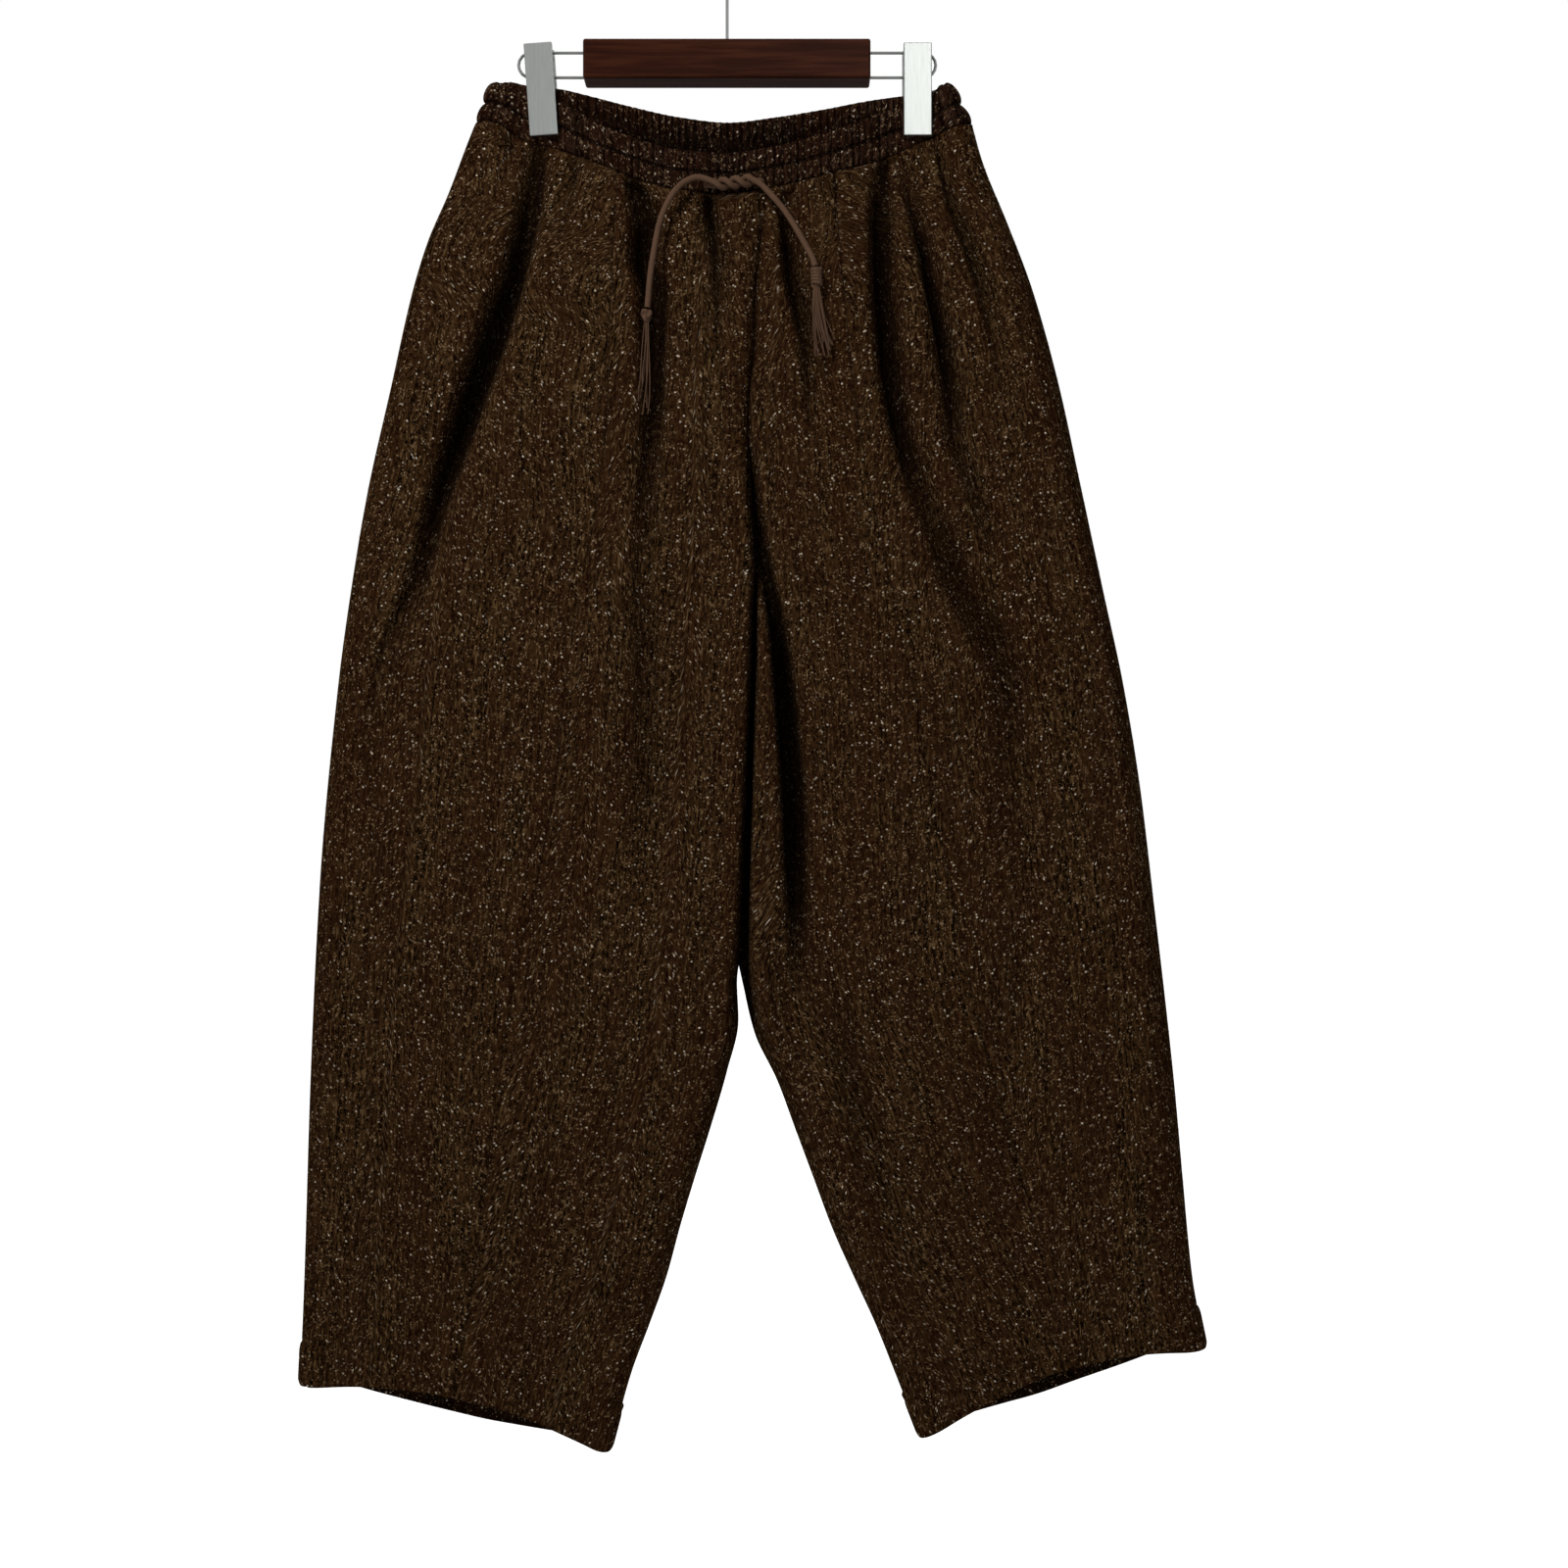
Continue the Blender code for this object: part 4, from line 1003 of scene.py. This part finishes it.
# Rows of the cloth's grid, closest at the gathers and at the hem.
GATHERS_END = 0.12
HEM_STARTS = 0.96
DROPS = np.concatenate(
    [
        np.linspace(0, GATHERS_END, 64)[:-1],
        np.linspace(GATHERS_END, HEM_STARTS, 236)[:-1],
        np.linspace(HEM_STARTS, 1, 24),
    ]
)
INNER_ROUND = 12.0
SIDE_ROUND = 28.0
INNER_COLUMNS = 9
INNER_FRONT_COLUMNS = 50
OUTER_FRONT_COLUMNS = 48
BACK_COLUMNS = 62
TO_SIDE_SEAM_COLUMNS = 14
PAST_SIDE_SEAM_COLUMNS = 9


def seam_share(side, drop):
    """Where the seam down the front of the leg crosses each row."""
    share = np.full_like(drop, 0.5)
    for _ in range(4):
        _, z = front_view(side, "front", share, drop)
        x_inner, _, x_outer, _ = row_ends(side, drop)
        share = np.clip((follow(LEG_SEAM[side], z) - x_inner) / (x_outer - x_inner), 0.02, 0.95)
    return share


def spread(start, stop, count):
    """Columns from start to stop, closer together beside both ends."""
    t = np.linspace(0, 1, count)
    t = t - 0.11 * np.sin(2 * math.pi * t)
    return start + (stop - start) * t


def leg_columns(side):
    """Shares of the front's columns and of the back's, and the columns on which the seams run."""
    drop = DROPS[:, None]
    x_inner, _, x_outer, _ = row_ends(side, drop)
    width = np.abs(x_outer - x_inner)
    inner = INNER_ROUND * (1 - np.cos(np.linspace(0, math.pi / 2, INNER_COLUMNS)))[None, :]
    # The side seam runs close to the fold at the waist and its full distance in from a hand below.
    seam_in = SIDE_SEAM_IN * np.minimum(1.0, 0.45 + 6 * drop)
    turn = np.arccos(1 - seam_in / SIDE_ROUND)
    round_the_side = []
    for start, stop, count in (
        (math.pi / 2, turn, TO_SIDE_SEAM_COLUMNS),
        (turn, 0.0, PAST_SIDE_SEAM_COLUMNS),
    ):
        t = np.linspace(0, 1, count)[None, :]
        round_the_side.append(width - SIDE_ROUND * (1 - np.cos(start + (stop - start) * t)))
    outer = np.hstack([round_the_side[0], round_the_side[1][:, 1:]])
    leg_seam = np.maximum(seam_share(side, drop) * width, INNER_ROUND + 2.0)
    first = spread(inner[:, -1:], leg_seam, INNER_FRONT_COLUMNS)
    second = spread(leg_seam, outer[:, :1], OUTER_FRONT_COLUMNS)
    inner = np.repeat(inner, len(DROPS), axis=0)
    front = np.hstack([inner, first[:, 1:], second[:, 1:], outer[:, 1:]])
    plain = spread(inner[:, -1:], outer[:, :1], BACK_COLUMNS)
    back = np.hstack([inner, plain[:, 1:], outer[:, 1:]])
    seam_column = inner.shape[1] + first.shape[1] - 2
    return front / width, back / width, seam_column


def leg_surface(side):
    """The leg's whole grid, how deep in shadow its points lie, and the columns of its two seams."""
    front, back, leg_seam = leg_columns(side)
    drop = DROPS[:, None]
    near = wall(side, "front", front, drop)
    far = wall(side, "back", back[:, -2::-1], drop)
    past = PAST_SIDE_SEAM_COLUMNS - 1
    side_seam = front.shape[1] - 1 + (-past if SIDE_SEAM_FACE[side] == "front" else past)
    # Painted shade: folds, swells and gathers, and the gap between the legs, darken the cloth's colour by
    # these amounts.
    hollow = []
    for face, part in (("front", near), ("back", far)):
        x, _, z = np.moveaxis(part, -1, 0)
        # Painted shade along the line where the legs meet.
        closed = SHUT_SHADE * np.exp(-(((x - inner_edge(side, z)) / SHUT_REACH) ** 2))
        closed *= eased((z - SHUT_FOOT) / SHUT_FADE)
        closed *= 0.55 + 0.45 * eased(np.abs(z - CROSSING_Z) / CROSSING_HALF)
        deep = fold_depth(side, face, x, z) + swell_depth(side, face, x, z)
        hollow.append(deep + TUCK_SHADOW * tuck_depth(side, face, x, z) + closed)
    return np.concatenate([near, far], axis=1), np.concatenate(hollow, axis=1), leg_seam, side_seam


def outward(grid, side):
    """Unit vectors out of the cloth at each point."""
    down = np.gradient(grid, axis=0)
    across = np.gradient(grid, axis=1)
    found = np.cross(down, across) if side == "right" else np.cross(across, down)
    return found / np.maximum(np.linalg.norm(found, axis=2, keepdims=True), 1e-9)


def arc(grid, axis):
    step = np.linalg.norm(np.diff(grid, axis=axis), axis=2)
    pad = ((1, 0), (0, 0)) if axis == 0 else ((0, 0), (1, 0))
    return np.pad(np.cumsum(step, axis=axis), pad)


def grid_of_cloth(name, grid, hollow, across):
    """A grid of points as a mesh, with its own flat map in metres and each point's depth in shadow."""
    rows, columns = grid.shape[:2]
    bpy.ops.object.select_all(action="DESELECT")
    bpy.ops.mesh.primitive_grid_add(x_subdivisions=columns - 1, y_subdivisions=rows - 1, size=1.0)
    piece = bpy.context.object
    piece.name = name
    mesh = piece.data
    mesh.vertices.foreach_set("co", (grid.reshape(-1, 3) * MM).ravel())
    flat = np.stack([across, -arc(grid, 0)], axis=-1) * MM
    corner = np.empty(len(mesh.loops), int)
    mesh.loops.foreach_get("vertex_index", corner)
    mesh.uv_layers[0].name = "cloth"
    mesh.uv_layers[0].data.foreach_set("uv", flat.reshape(-1, 2)[corner].ravel())
    mesh.attributes.new("hollow", "FLOAT", "POINT").data.foreach_set("value", hollow.ravel())
    return piece


def cloth_piece(name, grid, hollow, flip, wall_mm, hem_rows, materials):
    """A panel of cloth given its thickness, which is whole in the turned hem and single above it."""
    rows, columns = grid.shape[:2]
    along = arc(grid, 1)
    middle = columns // 2
    across = along - along[:, middle : middle + 1] + grid[:1, middle, :1]
    piece = grid_of_cloth(name, grid, hollow, across)
    thick = piece.vertex_groups.new(name="thick")
    doubled = rows - hem_rows
    thick.add(range(0, doubled * columns), SINGLE_LAYER, "REPLACE")
    thick.add(range(doubled * columns, rows * columns), 1.0, "REPLACE")
    if flip:
        bpy.ops.object.mode_set(mode="EDIT")
        bpy.ops.mesh.select_all(action="SELECT")
        bpy.ops.mesh.flip_normals()
        bpy.ops.object.mode_set(mode="OBJECT")
    solid = piece.modifiers.new("thickness", "SOLIDIFY")
    solid.thickness = wall_mm * MM
    solid.offset = -1.0
    solid.vertex_group = "thick"
    # The grid is the cloth's reverse, in the first material, and its face grows outwards in the last.
    solid.material_offset = len(materials) - 1
    solid.material_offset_rim = len(materials) - 1
    for material in materials:
        piece.data.materials.append(material)
    bpy.ops.object.modifier_apply(modifier="thickness")
    bpy.ops.object.shade_smooth()
    return piece


RUST = (0.030, 0.0095, 0.004, 1)
FLECK = (0.38, 0.25, 0.135, 1)
NEP = (0.90, 0.76, 0.58, 1)
# The colour of the painted shade at its darkest.
DEEP_SHADE = (0.0018, 0.0010, 0.0007, 1)
# Cells to a metre of cloth, each of which may hold one spot.
NEP_CELLS = 230.0
FLECK_CELLS = 500.0
# Millimetres of depth in a fold at which the painted shade starts to darken the cloth and is darkest.
SHADE_FROM = 5.0
SHADE_FULL = 22.0


def tweed_material(name, dark, brown, tan):
    """Woollen tweed: fine upright yarns, tan slubs, pale neps, and painted shade in its colour where a fold
    is deep.
    """
    tweed = Paint(name, 0.96)
    flat = tweed.node("ShaderNodeUVMap", {"uv_map": "cloth"})
    yarns = tweed.noise(tweed.stretched(flat, 760.0, 210.0), 1.0, 3.0, 0.7)
    cross = tweed.noise(tweed.stretched(flat, 430.0, 760.0, shift=(3.0, 7.0, 0.0)), 1.0, 2.0, 0.6)
    slubs = tweed.noise(tweed.stretched(flat, 560.0, 110.0, shift=(11.0, 2.0, 0.0)), 1.0, 2.0, 0.5)
    lines = tweed.noise(tweed.stretched(flat, 430.0, 16.0, shift=(5.0, 9.0, 0.0)), 1.0, 2.0, 0.5)
    patch = tweed.noise(tweed.stretched(flat, 34.0, 5.0), 1.0, 3.0, 0.6)
    weave = yarns * 0.50 + cross * 0.28 + lines * 0.22
    ground = tweed.mix(weave.over(0.42, 0.59), dark, brown)
    slubbed = tweed.mix(slubs.over(0.55, 0.70) * 0.6, ground, tan)
    toned = tweed.mix(patch.over(0.36, 0.62) * 0.46, slubbed, RUST)
    spot = {"feature": "F1"}
    near = tweed.node("ShaderNodeTexVoronoi", spot, {"Vector": flat, "Scale": NEP_CELLS}, out=0)
    fine = tweed.node("ShaderNodeTexVoronoi", spot, {"Vector": flat, "Scale": FLECK_CELLS}, out=0)
    shine = tweed.noise(flat, 330.0, 1.0).over(0.36, 0.64) * 0.66 + 0.26
    neps = (1.0 - near.over(0.11, 0.21)) * tweed.noise(flat, 150.0, 1.0).over(0.44, 0.51) * shine
    flecks = (1.0 - fine.over(0.17, 0.36)) * tweed.noise(flat, 210.0, 1.0).over(0.43, 0.54) * 0.66
    spotted = tweed.mix(neps, tweed.mix(flecks, toned, FLECK), NEP)
    # Painted shade: each point's shade attribute darkens the colour towards DEEP_SHADE.
    hollow = tweed.node("ShaderNodeAttribute", {"attribute_name": "hollow"}, out=2)
    shade = hollow.over(SHADE_FROM, SHADE_FULL) * 0.80
    tweed.link("Base Color", tweed.mix(shade, spotted, DEEP_SHADE))
    tweed.bump(weave * 0.7 + slubs * 0.2 + neps * 0.35, 0.9, 0.0009)
    tweed.set(Sheen_Weight=0.0, Specular_IOR_Level=0.0)
    return tweed.material


TWEED = tweed_material(
    "brown_tweed_cloth", (0.0018, 0.0010, 0.0006, 1), (0.070, 0.034, 0.0125, 1), (0.205, 0.118, 0.050, 1)
)
# The reverse is the same tweed about three times darker: painted shade for the inside of the legs.
REVERSE = tweed_material(
    "brown_tweed_reverse", (0.0012, 0.0007, 0.0005, 1), (0.022, 0.011, 0.0055, 1), (0.060, 0.034, 0.018, 1)
)
# The wall at the turned hem, and the part of it that a single layer is.
HEM_WALL = 2.6
SINGLE_LAYER = 0.42
HEM_ROWS = 20
HEM_STITCHED_AT = 27.0
POCKET_TOP = -207.0
POCKET_BOTTOM = -341.0
POCKET_END = 14.0
MOUTH_OPEN = 2.2
BACK_EDGE_SHARE = 0.35
MOUTH_PROUD = 0.7
FACING_DEEP = 2.7
FACING_WALL = 1.6
FACING_PAST_MOUTH = 6.0
FACING_COLUMNS = (12, 3)
FACING_SHADE = 20.0
FUZZ_COUNT = 4600
FUZZ_REACH = (1.2, 3.4)
FUZZ_RADIUS = 0.07
WOOL = Paint("brown_tweed_fibres", 1.0)
WOOL.set(Base_Color=(0.26, 0.18, 0.11, 1.0), Specular_IOR_Level=0.0)
loose = np.random.default_rng(5)


for side in ("left", "right"):
    surface, hollow, leg_seam, side_seam = leg_surface(side)
    out = outward(surface, side)
    along = np.gradient(surface, axis=1)
    along /= np.maximum(np.linalg.norm(along, axis=2, keepdims=True), 1e-9)
    run = arc(surface, 1)
    seam_z = surface[:, side_seam, 2]
    mouth = eased((POCKET_TOP - seam_z) / POCKET_END) * eased((seam_z - POCKET_BOTTOM) / POCKET_END)
    # A seam is drawn in along its line, with a slight ridge on each side where the allowance lies.
    dip = np.zeros(surface.shape[:2])
    for seam, sewn in ((leg_seam, np.ones(len(seam_z))), (side_seam, 1 - mouth)):
        away = np.abs(run - run[:, seam : seam + 1])
        groove = 1.7 * np.exp(-((away / 1.3) ** 2)) - 0.45 * np.exp(-(((away - 4.0) / 2.2) ** 2))
        dip += groove * sewn[:, None]
    # The hem's fold is stitched a finger's width up, where the cloth is drawn in a little.
    fallen = arc(surface, 0)
    up = fallen[-1:] - fallen
    dip += 0.55 * np.exp(-(((up - HEM_STITCHED_AT) / 2.4) ** 2)) + 0.9 * np.exp(-((up / 1.4) ** 2))
    shown = surface - out * dip[..., None]
    # The two legs' grids run opposite ways round, so the left leg's faces are turned over.
    flip = side == "left"
    panels = (
        ("front_inner_", slice(0, leg_seam + 1), 0),
        ("front_outer_", slice(leg_seam, side_seam + 1), -1),
        ("back_", slice(side_seam, None), 1),
    )
    for name, columns, beside in panels:
        points = shown[:, columns].copy()
        if beside:
            # The pocket's mouth: both turned edges stand apart, the front one a little proud.
            away = np.abs(run - run[:, side_seam : side_seam + 1])[:, columns]
            opened = (np.exp(-((away / 5.0) ** 2)) * mouth[:, None])[..., None]
            slide = MOUTH_OPEN if beside < 0 else BACK_EDGE_SHARE * MOUTH_OPEN
            points += along[:, columns] * opened * slide * beside
            points += out[:, columns] * opened * MOUTH_PROUD
        panel = name + side + "_cloth"
        shade = hollow[:, columns]
        piece = cloth_piece(panel, points, shade, flip, HEM_WALL, HEM_ROWS, (REVERSE, TWEED))
        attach(piece, "root")
        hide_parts(name + side)
    # The facing is sewn to the back's edge and lies behind the mouth, darkened all over with painted shade.
    facing_top, facing_bottom = POCKET_TOP + FACING_PAST_MOUTH, POCKET_BOTTOM - FACING_PAST_MOUTH
    rows = np.where((seam_z < facing_top) & (seam_z > facing_bottom))[0]
    before, past = FACING_COLUMNS
    columns = slice(side_seam - before, side_seam + past + 1)
    inside = (surface - out * FACING_DEEP)[rows[0] : rows[-1] + 1, columns]
    shade = np.full(inside.shape[:2], FACING_SHADE)
    facing = "pocket_facing_" + side
    lined = cloth_piece(facing + "_cloth", inside, shade, flip, FACING_WALL, 0, (TWEED,))
    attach(lined, "root")
    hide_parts(facing)
    # Loose fibres of the wool stand off the cloth all over and show pale along its edges.
    at = tuple(loose.integers(4, size - 4, FUZZ_COUNT) for size in surface.shape[:2])
    up = out[at]
    lie = loose.normal(size=up.shape)
    lie -= up * np.sum(lie * up, axis=1, keepdims=True)
    lie /= np.linalg.norm(lie, axis=1, keepdims=True)
    reach = loose.uniform(*FUZZ_REACH, (FUZZ_COUNT, 1))
    root = surface[at]
    bend = root + reach * (0.45 * up + 0.3 * lie)
    tip = root + reach * (0.5 * up + 0.85 * lie)
    fibres = np.stack([root - 0.4 * up, bend, tip], axis=1)
    fuzz = tube("fuzz_" + side, fibres, FUZZ_RADIUS, WOOL.material, detail=0)
    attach(fuzz, "root")


# Waistband: a straight band of the same tweed, folded over two rows of elastic and stitched half way
# down, so that it gathers into fine upright ribs that bulge over each elastic.
RIBS = 126
RIB_POINTS = 8
OUTER_RINGS = 33
INNER_RINGS = 25
STITCH_SHADE = 26.0
SEAM_SHADE = 20.0
CREASE_SHADE = 44.0


def band_bulge(share):
    """How far the cloth stands out over the two elastics, 0 at its edges and at the line between."""
    return abs(math.sin(2 * math.pi * share)) ** 0.6


def waistband():
    """Rings of points round the band, down its outside and up its inside, and their depth in shadow."""
    count = RIBS * RIB_POINTS
    top, seam = waist_ring(count)
    around = np.roll(top, -1, axis=0) - np.roll(top, 1, axis=0)
    out = np.stack([around[:, 1], -around[:, 0]], axis=1)
    out /= np.linalg.norm(out, axis=1, keepdims=True)
    out = np.column_stack([out, np.zeros(count)])
    at = np.arange(count) / count
    wander = 0.30 * np.sin(2 * math.pi * at * 7 + 0.6) + 0.22 * np.sin(2 * math.pi * at * 17 + 2.0)
    # Each rib is round on top, with a narrow crease to the next. The jaws press the ribs nearly flat.
    rib = np.abs(np.sin(math.pi * (at * RIBS + wander))) ** 0.75 - 0.68
    rib *= 0.8 + 0.3 * np.sin(2 * math.pi * at * 23 + 1.0) * np.sin(2 * math.pi * at * 11)
    from_clip = np.minimum(np.abs(top[:, 0] - CLIP_X["left"]), np.abs(top[:, 0] - CLIP_X["right"]))
    free = 0.25 + 0.75 * eased((from_clip - 10.0) / 8.0)
    room = np.clip((np.abs(seam[:, 1]) - 1.8) / 3.5, 0.0, 1.0)
    # Painted shade in the creases between ribs, less where the jaws press them flat.
    crease = CREASE_SHADE * np.clip(-rib, 0.0, 0.6) * free
    rings = []
    hollow = []
    for share in np.linspace(0, 1, OUTER_RINGS):
        bulge = band_bulge(share)
        ring = top * (1 - share) + seam * share
        rings.append(ring + out * (0.2 + free * (3.0 * bulge + (1.1 + 2.0 * bulge) * rib))[:, None])
        # The stitch line half way down and the seam are drawn in, and painted shade darkens them.
        at_stitches = STITCH_SHADE * math.exp(-(((share - 0.5) / 0.045) ** 2))
        at_seam = SEAM_SHADE * math.exp(-(((share - 1) / 0.07) ** 2))
        hollow.append(crease + (at_stitches + at_seam))
    rings.append(seam + out * (-0.1 + 0.3 * rib)[:, None])
    hollow.append(crease + SEAM_SHADE)
    # The inside gets painted shade, deeper towards the seam.
    for share in np.linspace(0.985, 0.015, INNER_RINGS):
        bulge = band_bulge(share)
        ring = top * (1 - share) + seam * share
        rings.append(ring - out * (0.9 + room * (0.3 + 1.3 * bulge - (0.6 + 1.2 * bulge) * rib))[:, None])
        hollow.append(crease + 5.0 + SEAM_SHADE * share)
    rings.append(top + out * (-0.1 + 0.3 * rib)[:, None])
    hollow.append(crease)
    grid = np.stack([*rings, rings[0]])
    hollow = np.stack([*hollow, hollow[0]])
    return np.concatenate([grid, grid[:, :1]], axis=1), np.concatenate([hollow, hollow[:, :1]], axis=1)


# The band's tweed is darker than the legs': partly painted shade of its deep rib creases, partly the
# darker, purplish yarn.
BAND_TWEED = tweed_material(
    "brown_tweed_band", (0.0012, 0.0007, 0.0006, 1), (0.040, 0.019, 0.0115, 1), (0.130, 0.074, 0.045, 1)
)
grid, band_painted_shade = waistband()
rows, columns = grid.shape[:2]
around = np.linalg.norm(np.diff(grid[0], axis=0), axis=1).sum()
across = np.tile(np.linspace(0, around, columns), (rows, 1))
band = grid_of_cloth("waistband_cloth", grid, band_painted_shade, across)
bpy.ops.object.mode_set(mode="EDIT")
bpy.ops.mesh.select_all(action="SELECT")
bpy.ops.mesh.remove_doubles(threshold=1e-6)
bpy.ops.mesh.normals_make_consistent(inside=False)
bpy.ops.object.mode_set(mode="OBJECT")
bpy.ops.object.shade_smooth()
band.data.materials.append(BAND_TWEED)
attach(band, "root")
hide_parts("waistband")
# The two elastics are kept apart by one line of stitches, a stitch to a rib.
MIDDLE_RING = OUTER_RINGS // 2
STITCH_POINTS = 6
stitched = []
for start in range(0, columns - RIB_POINTS, RIB_POINTS):
    stitched.append(grid[MIDDLE_RING, start : start + STITCH_POINTS])
THREAD = Paint("brown_sewing_thread", 0.7)
THREAD.set(Base_Color=(0.024, 0.012, 0.008, 1.0), Specular_IOR_Level=0.15)
stitches = tube("waistband_stitches", stitched, 0.24, THREAD.material, detail=1)
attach(stitches, "root")


# Hanger: a stained hardwood bar with a bright wire through it, two pressed metal clips that slide on
# the wire, and a round wire hook. The bar is satin varnished, the metal satin nickel.
wood = Paint("mahogany_stain", 0.36)
place = wood.node("ShaderNodeTexCoord", out=3)
grain = wood.noise(wood.stretched(place, 14.0, 260.0, 260.0), 1.0, 3.0, 0.6)
pores = wood.noise(wood.stretched(place, 60.0, 1500.0, 1500.0), 1.0, 2.0, 0.6)
stain = wood.mix(grain.over(0.35, 0.68), (0.030, 0.0075, 0.0035, 1), (0.062, 0.018, 0.008, 1))
wood.link("Base Color", wood.mix(pores.over(0.60, 0.72) * 0.5, stain, (0.016, 0.005, 0.003, 1)))
wood.bump(grain * 0.5 + pores * 0.5, 0.12, 0.0003)
wood.set(Specular_IOR_Level=0.05, Coat_Weight=0.0)
metal = Paint("satin_nickel_plate", 0.32, 1.0)
place = metal.node("ShaderNodeTexCoord", out=3)
brushed = metal.noise(metal.stretched(place, 700.0, 700.0, 60.0), 1.0, 2.0)
metal.link("Base Color", metal.mix(brushed, (0.40, 0.42, 0.40, 1), (0.52, 0.54, 0.52, 1)))
metal.bump(brushed, 0.06, 0.0001)
HANGER = {"hanger_bar": wood, "hanger_wire_loop": metal, "hanger_hook": metal}
for side in ("left", "right"):
    for part in ("clip_front_", "clip_back_", "clip_core_"):
        HANGER[part + side] = metal
for node, finish in HANGER.items():
    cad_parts[node].data.materials.clear()
    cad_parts[node].data.materials.append(finish.material)
